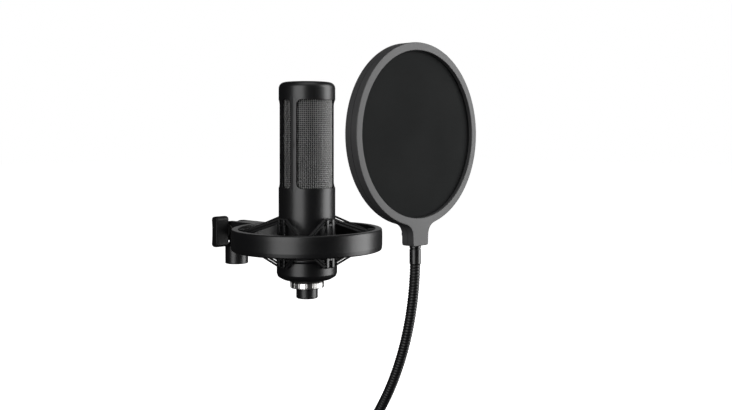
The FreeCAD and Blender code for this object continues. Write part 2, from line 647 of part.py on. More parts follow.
# ---- Clamp: a C frame whose screw squeezes the stand's rod against a curved jaw.
def stand_clamp():
    low = "dim.clamp_height - dim.clamp_tall/2"
    spine = box("dim.jaw_back + dim.leg_thick - dim.screw_leg", "dim.spine_back - dim.spine_front",
                "dim.clamp_tall", "dim.screw_leg", "dim.spine_front", low)
    legs = [
        box("dim.leg_thick", "dim.leg_reach - dim.spine_front", "dim.clamp_tall", x, "dim.spine_front", low)
        for x in ("dim.screw_leg", "dim.jaw_back")
    ]
    thread = cylinder("dim.screw_radius + 0.05", "20", "dim.screw_leg - 5", "0", "dim.clamp_height", "x")
    socket = cylinder("dim.ferrule_radius + 0.02", "6", "0", "dim.spine_front - 1", "dim.clamp_height", "y")
    frame = fuse(spine, *legs)
    frame = rounded(frame, 1.2, lambda edge: True)
    keep(cut(frame, thread, socket), "clamp_frame")
    jaw = cut(
        box("8", "20", "dim.clamp_tall - 2", "dim.jaw_back - 8.02", "-10", "dim.clamp_height - dim.clamp_tall/2 + 1"),
        cylinder("dim.jaw_radius", "60", "0", "0", "dim.clamp_height - 30"),
    )
    keep(jaw, "jaw_liner")
    ferrule = cylinder("dim.ferrule_radius", "dim.spine_front + 4.9 - dim.low_ferrule_start", "0",
                       "dim.low_ferrule_start", "dim.clamp_height", "y")
    keep(ferrule, "lower_ferrule")
    pad = cut(
        cylinder("6.5", "4", "dim.pad_face - 4", "0", "dim.clamp_height", "x"),
        cylinder("dim.screw_radius + 0.05", "2.5", "dim.pad_face - 4.01", "0", "dim.clamp_height", "x"),
    )
    keep(pad, "clamp_pad")
    keep(cylinder("dim.screw_radius", "dim.pad_face - 1.6 - dim.screw_leg + 18", "dim.screw_leg - 18", "0",
                  "dim.clamp_height", "x"), "clamp_screw")
    knob = cut(
        cylinder("11", "12", "dim.screw_leg - 19", "0", "dim.clamp_height", "x"),
        cylinder("dim.screw_radius + 0.02", "12", "dim.screw_leg - 18.05", "0", "dim.clamp_height", "x"),
        *[
            box("40", "4", "4", "dim.screw_leg - 30", "-2", "dim.clamp_height + 9.4"),
            box("40", "4", "4", "dim.screw_leg - 30", "-2", "dim.clamp_height - 13.4"),
            box("40", "4", "4", "dim.screw_leg - 30", "9.4", "dim.clamp_height - 2"),
            box("40", "4", "4", "dim.screw_leg - 30", "-13.4", "dim.clamp_height - 2"),
        ],
    )
    keep(knob, "clamp_knob")


stand_adapter()
suspension_ring()
anchor_pegs()
pivot_parts()
tilt_knob()
cradle_cup()
cradle_posts()
elastic_cords()
body_tube()
grille()
capsule()
chassis()
base()
lock_ring()
pop_filter()
gooseneck()
stand_clamp()
doc.recompute()

for thing in doc.Objects:
    if "Invalid" in thing.State or "Error" in thing.State:
        raise RuntimeError(f"{thing.Name} {thing.Label} did not build: {thing.State}")
os.makedirs("parts", exist_ok=True)
for node in nodes:
    if node.Shape.isNull() or not node.Shape.isValid():
        raise RuntimeError(f"{node.Label} has no valid shape")
    node.Shape.exportStep(f"parts/{node.Label}.step")
print(len(nodes), "nodes")
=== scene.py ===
import math

import bmesh
import bpy
from mathutils import Matrix, Vector


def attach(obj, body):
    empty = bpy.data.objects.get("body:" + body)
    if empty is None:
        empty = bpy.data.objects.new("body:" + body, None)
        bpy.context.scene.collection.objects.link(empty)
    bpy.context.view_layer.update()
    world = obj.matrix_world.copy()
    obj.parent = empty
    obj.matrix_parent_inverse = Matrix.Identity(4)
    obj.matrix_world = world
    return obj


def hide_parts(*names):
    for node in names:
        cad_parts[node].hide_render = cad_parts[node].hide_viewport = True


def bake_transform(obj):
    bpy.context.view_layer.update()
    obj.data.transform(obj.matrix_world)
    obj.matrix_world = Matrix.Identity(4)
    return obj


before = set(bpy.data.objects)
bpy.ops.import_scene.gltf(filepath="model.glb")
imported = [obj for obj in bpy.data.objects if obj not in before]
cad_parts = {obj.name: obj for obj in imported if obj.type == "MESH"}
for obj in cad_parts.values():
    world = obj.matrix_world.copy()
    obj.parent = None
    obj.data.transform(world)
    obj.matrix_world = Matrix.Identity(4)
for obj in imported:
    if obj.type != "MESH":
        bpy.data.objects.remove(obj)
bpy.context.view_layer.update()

# ---- Stand adapter -------------------------------------------------------------------------
# A turned aluminium tube that screws onto a stand, with a flat tongue milled on top for the
# tilt joint. It is powder coated in satin black, and its mouth holds a pressed-in thread bush.
MM = 0.001
PIVOT_HEIGHT = 31.8
PIVOT = (0, 0, PIVOT_HEIGHT)
SHARP_ANGLE = 32


def rounded(corners, closed=True, steps=6):
    """Corner points, each (x, y, radius), as a line of points with every corner rounded."""
    line = []
    last = len(corners) - 1
    for i, (x, y, radius) in enumerate(corners):
        here = Vector((x, y))
        if radius <= 0 or (not closed and i in (0, last)):
            line.append(here)
            continue
        back = (Vector(corners[i - 1][:2]) - here).normalized()
        ahead = (Vector(corners[(i + 1) % (last + 1)][:2]) - here).normalized()
        half = back.angle(ahead) / 2
        if half > 1.55:
            line.append(here)
            continue
        middle = (back + ahead).normalized()
        centre = here + middle * (radius / math.sin(half))
        start = here + back * (radius / math.tan(half)) - centre
        end = here + ahead * (radius / math.tan(half)) - centre
        for step in range(steps + 1):
            line.append(centre + start.slerp(end, step / steps) * radius)
    return line


def piece(name, points, faces, sharp_over=SHARP_ANGLE):
    """A mesh object from points in millimetres, smooth except at edges over an angle."""
    mesh = bpy.data.meshes.new(name)
    mesh.from_pydata([Vector(p) * MM for p in points], [], faces)
    shape = bmesh.new()
    shape.from_mesh(mesh)
    bmesh.ops.remove_doubles(shape, verts=shape.verts, dist=1e-7)
    bmesh.ops.recalc_face_normals(shape, faces=shape.faces)
    shape.to_mesh(mesh)
    shape.free()
    mesh.shade_smooth()
    mesh.set_sharp_from_angle(angle=math.radians(sharp_over))
    made = bpy.data.objects.new(name, mesh)
    bpy.context.scene.collection.objects.link(made)
    return made


def even_shading(made):
    """Lets the large faces decide the shading, as on a machined or moulded part."""
    weighted = made.modifiers.new("even shading", "WEIGHTED_NORMAL")
    weighted.keep_sharp = True
    return made


def axis_frame(along):
    """Side, other side and axis directions for a part that is turned about x, y or z."""
    if along == "x":
        return Vector((0, 1, 0)), Vector((0, 0, 1)), Vector((1, 0, 0))
    if along == "y":
        return Vector((0, 0, 1)), Vector((1, 0, 0)), Vector((0, 1, 0))
    return Vector((1, 0, 0)), Vector((0, 1, 0)), Vector((0, 0, 1))


def turned_mesh(outline, centre, along="z", count=96, closed=True, ripple=None):
    """Points and faces of an outline of (radius, height) turned about an axis."""
    side, other, axis = axis_frame(along)
    points, faces = [], []
    for turn in range(count):
        angle = math.tau * turn / count
        for radius, height in outline:
            if ripple:
                radius = ripple(radius, height, angle)
            points.append(
                Vector(centre) + side * (radius * math.cos(angle))
                + other * (radius * math.sin(angle)) + axis * height
            )
    length = len(outline)
    for turn in range(count):
        here, there = turn * length, ((turn + 1) % count) * length
        for i in range(length if closed else length - 1):
            j = (i + 1) % length
            faces.append((here + i, there + i, there + j, here + j))
    return points, faces


def turned(name, corners, centre=(0, 0, 0), along="z", count=96, closed=True, steps=6, ripple=None):
    """A part made on a lathe from a rounded outline."""
    points, faces = turned_mesh(rounded(corners, closed, steps), centre, along, count, closed, ripple)
    return even_shading(piece(name, points, faces))


def plate(name, outline, low, high, along="x"):
    """A flat part: an outline extruded between two levels along x, y or z."""
    side, other, axis = axis_frame(along)
    count = len(outline)
    points = [side * p[0] + other * p[1] + axis * level for level in (low, high) for p in outline]
    faces = [(i, (i + 1) % count, count + (i + 1) % count, count + i) for i in range(count)]
    faces += [tuple(range(count)), tuple(range(2 * count - 1, count - 1, -1))]
    return piece(name, points, faces)


def eased(made, width, segments=3, over=40):
    """Rounds every sharp edge of a part, the way a casting or moulding has them."""
    bevel = made.modifiers.new("eased edges", "BEVEL")
    bevel.width = width * MM
    bevel.segments = segments
    bevel.limit_method = "ANGLE"
    bevel.angle_limit = math.radians(over)
    bevel.miter_outer = "MITER_ARC"
    return even_shading(made)


def join(name, *parts):
    """Several meshes as one piece, each with its modifiers applied first."""
    graph = bpy.context.evaluated_depsgraph_get()
    whole = bmesh.new()
    for part in parts:
        graph.update()
        done = bpy.data.meshes.new_from_object(
            part.evaluated_get(graph), preserve_all_data_layers=True, depsgraph=graph,
        )
        done.transform(part.matrix_world)
        whole.from_mesh(done)
    mesh = bpy.data.meshes.new(name)
    whole.to_mesh(mesh)
    whole.free()
    for part in parts:
        bpy.data.objects.remove(part)
    mesh.shade_smooth()
    mesh.set_sharp_from_angle(angle=math.radians(SHARP_ANGLE))
    made = bpy.data.objects.new(name, mesh)
    bpy.context.scene.collection.objects.link(made)
    return even_shading(made)


class Socket:
    """A shader value that can be used in ordinary arithmetic."""

    def __init__(self, tree, link):
        self.tree = tree
        self.link = link

    def node(self, kind, settings=None, output=0, **values):
        """Adds a node: settings first, then the value or link of each named socket."""
        made = self.tree.nodes.new(kind)
        for key, setting in (settings or {}).items():
            if key == "stops":
                for place, grey in setting:
                    stop = made.color_ramp.elements.new(place)
                    stop.color = (grey, grey, grey, 1)
                made.color_ramp.elements.remove(made.color_ramp.elements[0])
                made.color_ramp.elements.remove(made.color_ramp.elements[-1])
                continue
            setattr(made, key, setting)
        for key, value in values.items():
            name = key.replace("_", " ")
            target = made.inputs[int(key[1:])] if key[0] == "i" and key[1:].isdigit() else made.inputs[name]
            if isinstance(value, Socket):
                self.tree.links.new(value.link, target)
            else:
                target.default_value = value
        return Socket(self.tree, made.outputs[output])

    def math(self, operation, first, second):
        return self.node("ShaderNodeMath", {"operation": operation}, i0=first, i1=second)

    def __add__(self, other):
        return self.math("ADD", self, other)

    def __radd__(self, other):
        return self.math("ADD", other, self)

    def __sub__(self, other):
        return self.math("SUBTRACT", self, other)

    def __rsub__(self, other):
        return self.math("SUBTRACT", other, self)

    def __mul__(self, other):
        return self.math("MULTIPLY", self, other)

    def __rmul__(self, other):
        return self.math("MULTIPLY", other, self)


def material(name, colour, roughness, metallic=0.0, specular=0.5, coat=0.0, coat_roughness=0.1):
    """A new material. Returns it with its shader node and a starting socket for its own nodes."""
    made = bpy.data.materials.new(name)
    made.use_nodes = True
    tree = made.node_tree
    shader = tree.nodes["Principled BSDF"]
    shader.inputs["Base Color"].default_value = (*colour, 1)
    shader.inputs["Roughness"].default_value = roughness
    shader.inputs["Metallic"].default_value = metallic
    shader.inputs["Specular IOR Level"].default_value = specular
    shader.inputs["Coat Weight"].default_value = coat
    shader.inputs["Coat Roughness"].default_value = coat_roughness
    place = tree.nodes.new("ShaderNodeTexCoord")
    return made, shader, Socket(tree, place.outputs["Object"])


def feed(shader, name, value):
    """Links a shader input to a value."""
    value.tree.links.new(value.link, shader.inputs[name])


def between(low, high, mask):
    """A colour that goes from low to high as the mask goes from 0 to 1."""
    return mask.node(
        "ShaderNodeMix", {"data_type": "RGBA"}, output=2, i0=mask, i6=(*low, 1), i7=(*high, 1)
    )


def noise(place, scale, detail=3.0, roughness=0.55):
    """Noise in 1/metre over the object, 0 to 1."""
    return place.node("ShaderNodeTexNoise", Vector=place, Scale=scale, Detail=detail, Roughness=roughness)


def bumped(shader, height, distance, strength=1.0):
    """Surface relief of a given depth in metres."""
    relief = height.node("ShaderNodeBump", Height=height, Distance=distance, Strength=strength)
    feed(shader, "Normal", relief)


def satin_paint(name, colour, rough):
    """Powder coat: a very fine orange-peel skin, slightly uneven gloss and faint handling marks."""
    made, shader, place = material(name, colour, rough, specular=0.5, coat=0.12, coat_roughness=0.22)
    peel = noise(place, 2600, 2)
    cloud = noise(place, 45, 4)
    rubbed = noise(place, 320, 6, 0.7)
    feed(shader, "Roughness", rough - 0.05 + 0.07 * cloud + 0.05 * rubbed)
    lifted = tuple(c * 1.5 + 0.0015 for c in colour)
    feed(shader, "Base Color", between(colour, lifted, cloud * rubbed * 1.6))
    bumped(shader, peel * 0.7 + rubbed * 0.3, 0.000012, 0.5)
    return made


body_black = satin_paint("satin_black_paint", (0.005, 0.005, 0.0055), 0.37)


def finish(made, look, body, slot, *nodes):
    """Gives a piece its material and its CAD body, and hides the CAD nodes it stands for. The slot is not
    used.
    """
    made.data.materials.clear()
    made.data.materials.append(look)
    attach(made, body)
    if nodes:
        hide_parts(*nodes)
    return made


def mend(made, *cutters):
    """Cuts other meshes out of a piece."""
    for cutter in cutters:
        taken = made.modifiers.new("cut", "BOOLEAN")
        taken.operation = "DIFFERENCE"
        taken.solver = "EXACT"
        taken.object = cutter
    graph = bpy.context.evaluated_depsgraph_get()
    mesh = bpy.data.meshes.new_from_object(made.evaluated_get(graph))
    made.modifiers.clear()
    made.data = mesh
    for cutter in cutters:
        bpy.data.objects.remove(cutter)
    mesh.shade_smooth()
    mesh.set_sharp_from_angle(angle=math.radians(SHARP_ANGLE))
    return made


adapter_barrel = turned(
    "adapter_barrel",
    [
        (8.95, 0, 0.5), (10.95, 0, 0.8), (11, 17.3, 1.0), (6.6, 21.0, 0.7), (0, 21.0, 0),
        (0, 16.2, 0), (8.95, 16.2, 0),
    ],
)
eye = [(-6.5, 20.2, 0), (6.5, 20.2, 0)]
eye_radius = 8.6
for step in range(33):
    angle = math.radians(-40.9 + (180 + 81.8) * step / 32)
    eye.append((eye_radius * math.cos(angle), PIVOT_HEIGHT + eye_radius * math.sin(angle), 0))
tongue = eased(plate("tongue", [p[:2] for p in eye], -3.8, 3.8), 0.5)
adapter = join("adapter_tube_body", adapter_barrel, tongue)
finish(adapter, body_black, "stand_adapter", "satin_black_metal", "adapter_tube")

# ---- Thread bush ---------------------------------------------------------------------------
# A nickel-plated steel sleeve with the stand thread cut inside it, pressed into the adapter.
THREAD_PITCH = 0.941


def thread(radius, height, angle):
    """Deepens the sleeve's bore along a helix."""
    if radius > 8.1 or height < 0.4 or height > 15.4:
        return radius
    phase = (height / THREAD_PITCH - angle / math.tau) % 1
    return radius + 0.42 * (1 - abs(2 * phase - 1))


def bright_metal(name, colour, rough, grain=900):
    """Plated or bare metal with fine turning marks and slightly uneven gloss."""
    made, shader, place = material(name, colour, rough, metallic=1.0)
    lines = place.node(
        "ShaderNodeTexNoise", Vector=place.node(
            "ShaderNodeVectorMath", {"operation": "MULTIPLY"}, i0=place, i1=(0.06, 0.06, 1)
        ), Scale=grain, Detail=3.0,
    )
    cloud = noise(place, 160, 4)
    feed(shader, "Roughness", rough - 0.04 + 0.1 * cloud + 0.05 * lines)
    feed(shader, "Base Color", between(tuple(c * 0.86 for c in colour), colour, cloud))
    bumped(shader, lines, 0.000008, 0.35)
    return made


nickel = bright_metal("nickel_plate", (0.78, 0.77, 0.75), 0.27)
bore_steps = [(7.5, 0.3 + 15.3 * i / 130, 0) for i in range(131)]
bush = turned(
    "thread_bush_sleeve",
    [(8.86, 15.9, 0), (8.86, 0.1, 0.3), (7.8, 0.1, 0.2)] + bore_steps + [(7.8, 15.9, 0)],
    count=72, ripple=thread,
)
finish(bush, nickel, "stand_adapter", "nickel", "thread_bush")

# ---- Suspension ring -----------------------------------------------------------------------
# A deep cast hoop that hangs the microphone on cords, with an arm and two ears at the back that
# straddle the adapter's tongue. Cast aluminium in the same satin black powder coat.
MIC_Y = -101.0
MIC_CENTRE = (0, MIC_Y, 0)
hoop = turned(
    "hoop",
    [
        (60.5, 22.5, 0.7), (66.1, 22.5, 1.2), (66.6, 26.5, 4),
        (66.6, 37.0, 4), (66.3, 41.2, 1.4), (60.5, 41.2, 1.0),
    ],
    MIC_CENTRE, count=192,
)
ear_radius = 9.3
arm_side = [(-37.5, 26.9), (-10.5, 26.9), (-8.2, 26.4)]
for step in range(28):
    angle = math.radians(212 + 238 * step / 27)
    arm_side.append((ear_radius * math.cos(angle), PIVOT_HEIGHT + ear_radius * math.sin(angle)))
arm_side += [(-37.5, PIVOT_HEIGHT + ear_radius)]
arm = plate("arm", arm_side, -9.2, 9.2)
slot_side = [(-10.6, 10), (20, 10), (20, 60), (-10.6, 60)]
arm = eased(mend(arm, plate("slot", slot_side, -4.6, 4.6)), 0.9)
ring = join("suspension_ring_casting", hoop, arm)
finish(ring, body_black, "suspension_ring", "satin_black_metal", "suspension_ring")

# ---- Anchor pegs ---------------------------------------------------------------------------
# Four upright moulded pegs on small brackets inside the ring. The cords pass behind them.
ANCHOR_HEIGHT = 32.5
PEG_CIRCLE = 54.6


def plastic(name, colour, rough, grain=1500, depth=0.00002, specular=0.5):
    """Moulded plastic with a fine spark-eroded grain."""
    made, shader, place = material(name, colour, rough, specular=specular)
    fine = noise(place, grain, 4, 0.65)
    cloud = noise(place, 60, 3)
    feed(shader, "Roughness", rough - 0.04 + 0.05 * fine + 0.05 * cloud)
    lifted = tuple(c * 1.35 + 0.0008 for c in colour)
    feed(shader, "Base Color", between(colour, lifted, fine * cloud * 1.8))
    bumped(shader, fine, depth, 0.6)
    return made


peg_plastic = plastic("peg_nylon", (0.007, 0.007, 0.0075), 0.42)
pegs = []
for quarter in range(4):
    angle = math.radians(45 + 90 * quarter)
    centre = (PEG_CIRCLE * math.cos(angle), MIC_Y + PEG_CIRCLE * math.sin(angle), 0)
    low, high = ANCHOR_HEIGHT - 7.9, ANCHOR_HEIGHT + 7.8
    pegs.append(turned(
        "peg", [(0, low, 0), (1.3, low, 0.3), (1.3, high, 0.3), (0, high, 0)], centre, count=24, closed=False,
    ))
    for foot_low in (low, high - 1.3):
        foot = plate("foot", [(0, -1.5), (5.75, -1.5), (5.75, 1.5), (0, 1.5)], foot_low, foot_low + 1.3, "z")
        foot = eased(foot, 0.3, 2)
        foot.matrix_world = Matrix.Translation(Vector(centre) * MM) @ Matrix.Rotation(angle, 4, "Z")
        pegs.append(foot)
    bpy.context.view_layer.update()
finish(join("anchor_peg_set", *pegs), peg_plastic, "suspension_ring", "black_plastic", "anchor_pegs")

# ---- Pivot bolt and friction washers -------------------------------------------------------
# A black hexagon bolt clamps the ears on the tongue through two hard fibre washers.
bolt_black = satin_paint("bolt_black_oxide", (0.008, 0.008, 0.0085), 0.3)
hexagon = [(5.6 * math.cos(math.radians(60 * i)), PIVOT_HEIGHT + 5.6 * math.sin(math.radians(60 * i)))
           for i in range(6)]
head = eased(plate("head", hexagon, 9.23, 13.1), 0.5)
shank = turned("shank", [(0, -21.9, 0), (2.6, -21.9, 0.2), (3, -21.4, 0.2), (3, 9.4, 0), (0, 9.4, 0)],
               PIVOT, "x", 48, False)
finish(join("pivot_bolt_hex", head, shank), bolt_black, "suspension_ring", "black_steel", "pivot_bolt")
fibre = plastic("fibre_washer", (0.05, 0.045, 0.04), 0.6)
washers = [
    turned("washer", [(3.1, x, 0), (8.2, x, 0.15), (8.2, x + 0.7, 0.15), (3.1, x + 0.7, 0)],
           PIVOT, "x", 64)
    for x in (-4.55, 3.85)
]
finish(join("friction_washer_pair", *washers), fibre, "suspension_ring", "washer_plastic", "friction_washers")

# ---- Tilt knob -----------------------------------------------------------------------------
# A moulded paddle for finger and thumb, dished on both broad faces, with a round hub. A brass
# insert inside it runs on the bolt.
knob_plastic = plastic("knob_plastic", (0.004, 0.004, 0.0042), 0.5, 1900, 0.000015, 0.28)
paddle_side = []
half_tall, waist, cheek, cap = 14.5, 4.05, 4.65, 11.2
for step in range(-16, 17):
    height = cap * step / 16
    paddle_side.append((waist + (cheek - waist) * (abs(height) / cap) ** 2.2, height))
for step in range(1, 16):
    angle = math.radians(180 * step / 16)
    across = math.copysign(abs(math.cos(angle)) ** 0.8, math.cos(angle))
    paddle_side.append((cheek * across, cap + (half_tall - cap) * math.sin(angle) ** 0.8))
paddle_side += [(-x, -z) for x, z in paddle_side]
paddle_side = [(y, PIVOT_HEIGHT + z) for y, z in paddle_side]
paddle = eased(plate("paddle", paddle_side, -26.5, -12.5), 1.5, 5, 55)
hub = turned("hub", [(3.95, -10.25, 0.3), (6.1, -10.25, 0.6), (6.5, -13.4, 0), (3.95, -13.4, 0)],
             PIVOT, "x", 64)
finish(join("tilt_knob_paddle", paddle, hub), knob_plastic, "tilt_knob", "black_plastic", "tilt_knob")
brass = bright_metal("turned_brass", (0.78, 0.58, 0.28), 0.28)
insert = turned(
    "knob_brass_insert",
    [(3.06, -23.4, 0.2), (3.88, -23.4, 0.2), (3.88, -10.2, 0.2), (3.06, -10.2, 0.2)],
    PIVOT, "x", 48,
)
finish(insert, brass, "tilt_knob", "nickel", "knob_insert")
thin_washer = turned(
    "knob_thin_washer",
    [(3.1, -10.02, 0), (6, -10.02, 0.15), (6, -9.26, 0.15), (3.1, -9.26, 0)],
    PIVOT, "x", 48,
)
finish(thin_washer, fibre, "knob_washer", "washer_plastic", "knob_washer")

# ---- Cradle cup ----------------------------------------------------------------------------
# A turned aluminium cup that the microphone drops into, rounded below into a shallow cone, with
# a flange round its rim. The same satin black coat as the ring.
cup = turned(
    "cradle_cup_shell",
    [
        (10.4, -5, 0.3), (15.6, -4.95, 0.6), (21.6, -3.3, 3), (25.6, -1.0, 2.2), (26.7, 1.9, 2.2),
        (26.7, 13.2, 0.6), (28.85, 14.6, 0.6), (28.85, 16.4, 0.7), (25.3, 16.4, 0.4), (25.3, 1.6, 0.4),
        (10.4, 1.6, 0.4),
    ],
    MIC_CENTRE, count=128,
)
finish(cup, body_black, "microphone", "satin_black_metal", "cradle_cup")

# ---- Felt seat -----------------------------------------------------------------------------
# A thin felt ring on the cup's floor that keeps the microphone from rattling.
felt, shader, place = material("pressed_felt", (0.02, 0.02, 0.02), 0.95)
fibres = noise(place, 3500, 5, 0.75)
feed(shader, "Base Color", between((0.012, 0.012, 0.012), (0.05, 0.05, 0.05), fibres))
bumped(shader, fibres, 0.00008)
seat = turned("felt_seat_ring", [(10.7, 1.65, 0.2), (24.7, 1.65, 0.2), (24.7, 2.4, 0.2), (10.7, 2.4, 0.2)],
              MIC_CENTRE, count=96)
finish(seat, felt, "microphone", "cloth", "felt_seat")

# ---- Cradle posts --------------------------------------------------------------------------
# Four pairs of flat pressed-steel bars riveted to the cup's flange. A saddle joins each pair
# under the upper cord, and their rounded tips stand just above it.
posts = []
for quarter in range(4):
    spin = Matrix.Translation(Vector(MIC_CENTRE) * MM) @ Matrix.Rotation(math.radians(90 * quarter), 4, "Z")
    shapes = []
    for side in (-1, 1):
        inner, outer = side * 1.9, side * 4.5
        near, far = (inner + outer) / 2 - side * 0.7, (inner + outer) / 2 + side * 0.7
        bar = [(inner, 9.9), (near, 9.05), (far, 9.05), (outer, 9.9),
               (outer, 49.6), (far, 50.45), (near, 50.45), (inner, 49.6)]
        shapes.append(plate("bar", bar, 28.95, 30.55))
    shapes.append(plate("saddle", [(-3.6, 44.7), (3.6, 44.7), (3.6, 46.2), (-3.6, 46.2)], 27.1, 30.2))
    shapes.append(plate("foot", [(-3.6, 14.9), (3.6, 14.9), (3.6, 17.5), (-3.6, 17.5)], 28.92, 30.3))
    for shape in shapes:
        eased(shape, 0.45, 3)
        shape.matrix_world = spin
    posts += shapes
    rivet = turned(
        "rivet", [(0, 30.2, 0), (1.1, 30.2, 0), (0.9, 30.75, 0.35), (0, 30.8, 0)],
        (0, 0, 16.2), "x", 24, False,
    )
    rivet.matrix_world = spin
    posts.append(rivet)
bpy.context.view_layer.update()
post_black = satin_paint("post_black_paint", (0.006, 0.006, 0.0065), 0.33)
finish(join("cradle_post_set", *posts), post_black, "microphone", "satin_black_metal", "cradle_posts")

# ---- Elastic cords -------------------------------------------------------------------------
# Two braided elastic strands above and two below, each one closed loop woven between the inside
# of every post and the back of every ring peg. Round rubber core under a black braided sleeve.
CORD_RADIUS = 0.95


def swept(name, path, ring_at, closed=False, around=16, pattern=None):
    """A tube along a line of points. ring_at(distance, angle) is its radius there."""
    count = len(path)
    ways = []
    for i in range(count):
        before = path[i - 1] if closed or i else path[i]
        after = path[(i + 1) % count] if closed or i < count - 1 else path[i]
        ways.append((after - before).normalized())
    side = ways[0].orthogonal().normalized()
    points, run, runs = [], 0.0, []
    for i in range(count):
        if i:
            side = ways[i - 1].rotation_difference(ways[i]) @ side
            run += (path[i] - path[i - 1]).length
        side = (side - ways[i] * side.dot(ways[i])).normalized()
        up = ways[i].cross(side)
        runs.append(run)
        for turn in range(around):
            angle = math.tau * turn / around
            radius = ring_at(run, angle)
            points.append(path[i] + side * (radius * math.cos(angle)) + up * (radius * math.sin(angle)))
    faces = []
    for i in range(count if closed else count - 1):
        j = (i + 1) % count
        for turn in range(around):
            nxt = (turn + 1) % around
            faces.append((i * around + turn, i * around + nxt, j * around + nxt, j * around + turn))
    if not closed:
        faces.append(tuple(range(around - 1, -1, -1)))
        faces.append(tuple(range((count - 1) * around, count * around)))
    made = piece(name, points, faces, 50)
    if pattern:
        wrap = made.data.uv_layers.new(name=pattern)
        for face in made.data.polygons:
            if face.loop_total != 4:
                continue
            rows = [made.data.loops[k].vertex_index for k in face.loop_indices]
            turns = [v % around for v in rows]
            for k, v in zip(face.loop_indices, rows):
                turn = v % around
                if turn == 0 and max(turns) == around - 1:
                    turn = around
                row = v // around
                along = runs[row]
                if closed and row == 0 and max(u // around for u in rows) == count - 1:
                    along = run + (path[0] - path[-1]).length
                wrap.data[k].uv = (turn / around, along / 10)
    return made


def arc_path(corners, radius, spacing=1.2, bend_steps=9):
    """A closed line of points through straight runs and tangent arcs."""
    count = len(corners)
    line = []
    for i in range(count):
        here = corners[i]
        back = (corners[i - 1] - here).normalized()
        ahead = (corners[(i + 1) % count] - here).normalized()
        half = back.angle(ahead) / 2
        centre = here + (back + ahead).normalized() * (radius / math.sin(half))
        start = here + back * (radius / math.tan(half)) - centre
        end = here + ahead * (radius / math.tan(half)) - centre
        if line:
            gap = centre + start - line[-1]
            steps = max(1, int(gap.length / spacing))
            line += [line[-1] + gap * (k / steps) for k in range(1, steps)]
        line += [centre + start.slerp(end, k / bend_steps) * radius for k in range(bend_steps + 1)]
    gap = line[0] - line[-1]
    steps = max(1, int(gap.length / spacing))
    line += [line[-1] + gap * (k / steps) for k in range(1, steps)]
    return line


def braid(name, colour, strands, rows):
    """Braided sleeve: two sets of crossing yarns, with a slight fuzz between them."""
    made, shader, place = material(name, colour, 0.72, specular=0.4)
    wrap = place.node("ShaderNodeUVMap", {"uv_map": "braid"})
    turn = wrap.node("ShaderNodeSeparateXYZ", Vector=wrap)
    along = Socket(turn.tree, turn.link.node.outputs[1])
    round_turn, down_run = turn * (strands * math.tau), along * (rows * math.tau)
    right = turn.math("SINE", round_turn + down_run, 0.0)
    left = turn.math("SINE", round_turn - down_run, 0.0)
    yarn = turn.math("ABSOLUTE", right * left, 0.0)
    fuzz = noise(place, 5200, 3)
    hollow, crown = tuple(c * 0.45 for c in colour), tuple(c * 2.1 for c in colour)
    feed(shader, "Base Color", between(hollow, crown, yarn * 0.8 + fuzz * 0.2))
    feed(shader, "Roughness", 0.62 + 0.25 * fuzz)
    bumped(shader, yarn * 0.8 + fuzz * 0.2, 0.00016)
    return made


elastic = braid("braided_elastic", (0.008, 0.008, 0.0085), 4, 5)


def cord_strand(post_height, anchor_height):
    """One closed strand round the four posts and four pegs."""
    corners = []
    for quarter in range(4):
        spin = Matrix.Rotation(math.radians(90 * quarter), 3, "Z")
        for across in (-5.0, 5.0):
            corners.append(spin @ Vector((27.9, across, post_height)))
        corners.append(spin @ Matrix.Rotation(math.radians(45), 3, "Z") @ Vector((61.5, 0, anchor_height)))
    path = [p + Vector(MIC_CENTRE) for p in arc_path(corners, 2.6)]
    return swept("strand", path, lambda run, angle: CORD_RADIUS, True, 14, "braid")


def keep_uv_join(name, *parts):
    """Joins plain meshes that carry a braid layout."""
    whole = bmesh.new()
    for part in parts:
        whole.from_mesh(part.data)
        bpy.data.objects.remove(part)
    mesh = bpy.data.meshes.new(name)
    whole.to_mesh(mesh)
    whole.free()
    mesh.shade_smooth()
    made = bpy.data.objects.new(name, mesh)
    bpy.context.scene.collection.objects.link(made)
    return made


for name, post_height, sign, node in (
    ("upper_elastic_cord", 49.0, 1, "upper_cord"),
    ("lower_elastic_cord", 10.5, -1, "lower_cord"),
):
    strands = [
        cord_strand(post_height + step, ANCHOR_HEIGHT + sign * 1.3 + step) for step in (-1.3, 1.3)
    ]
    cord = keep_uv_join(name, *strands)
    cord.data.materials.append(elastic)
    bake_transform(cord)
    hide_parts(node)

# ---- Body tube -----------------------------------------------------------------------------
# The microphone's drawn brass tube, closed and rounded at the top, with a wide window at the
# front and back and a narrow one at each side. It has the same satin black coat as the ring.
BODY_RADIUS, BODY_WALL = 25.0, 1.5
WINDOW_LOW, WINDOW_HIGH = 77.1, 153.8
EASE = 0.35


def window_loop(half_width, corner, grow, corner_steps=8, side_steps=14):
    """A rounded window outline as (arc length, height), starting low on the left."""
    low, high = WINDOW_LOW - grow, WINDOW_HIGH + grow
    wide, bend = half_width + grow, corner + grow
    across = max(6, int(half_width * 2 / 1.1))
    loop = []
    runs = (
        ((-wide + bend, low), (wide - bend, low), across, -90),
        ((wide, low + bend), (wide, high - bend), side_steps, 0),
        ((wide - bend, high), (-wide + bend, high), across, 90),
        ((-wide, high - bend), (-wide, low + bend), side_steps, 180),
    )
    for start, end, steps, turn in runs:
        loop += [(start[0] + (end[0] - start[0]) * k / steps, start[1] + (end[1] - start[1]) * k / steps)
                 for k in range(steps + 1)]
        out = math.radians(turn)
        centre = (end[0] - bend * math.cos(out), end[1] - bend * math.sin(out))
        for k in range(1, corner_steps):
            angle = out + math.pi / 2 * k / corner_steps
            loop.append((centre[0] + bend * math.cos(angle), centre[1] + bend * math.sin(angle)))
    return loop


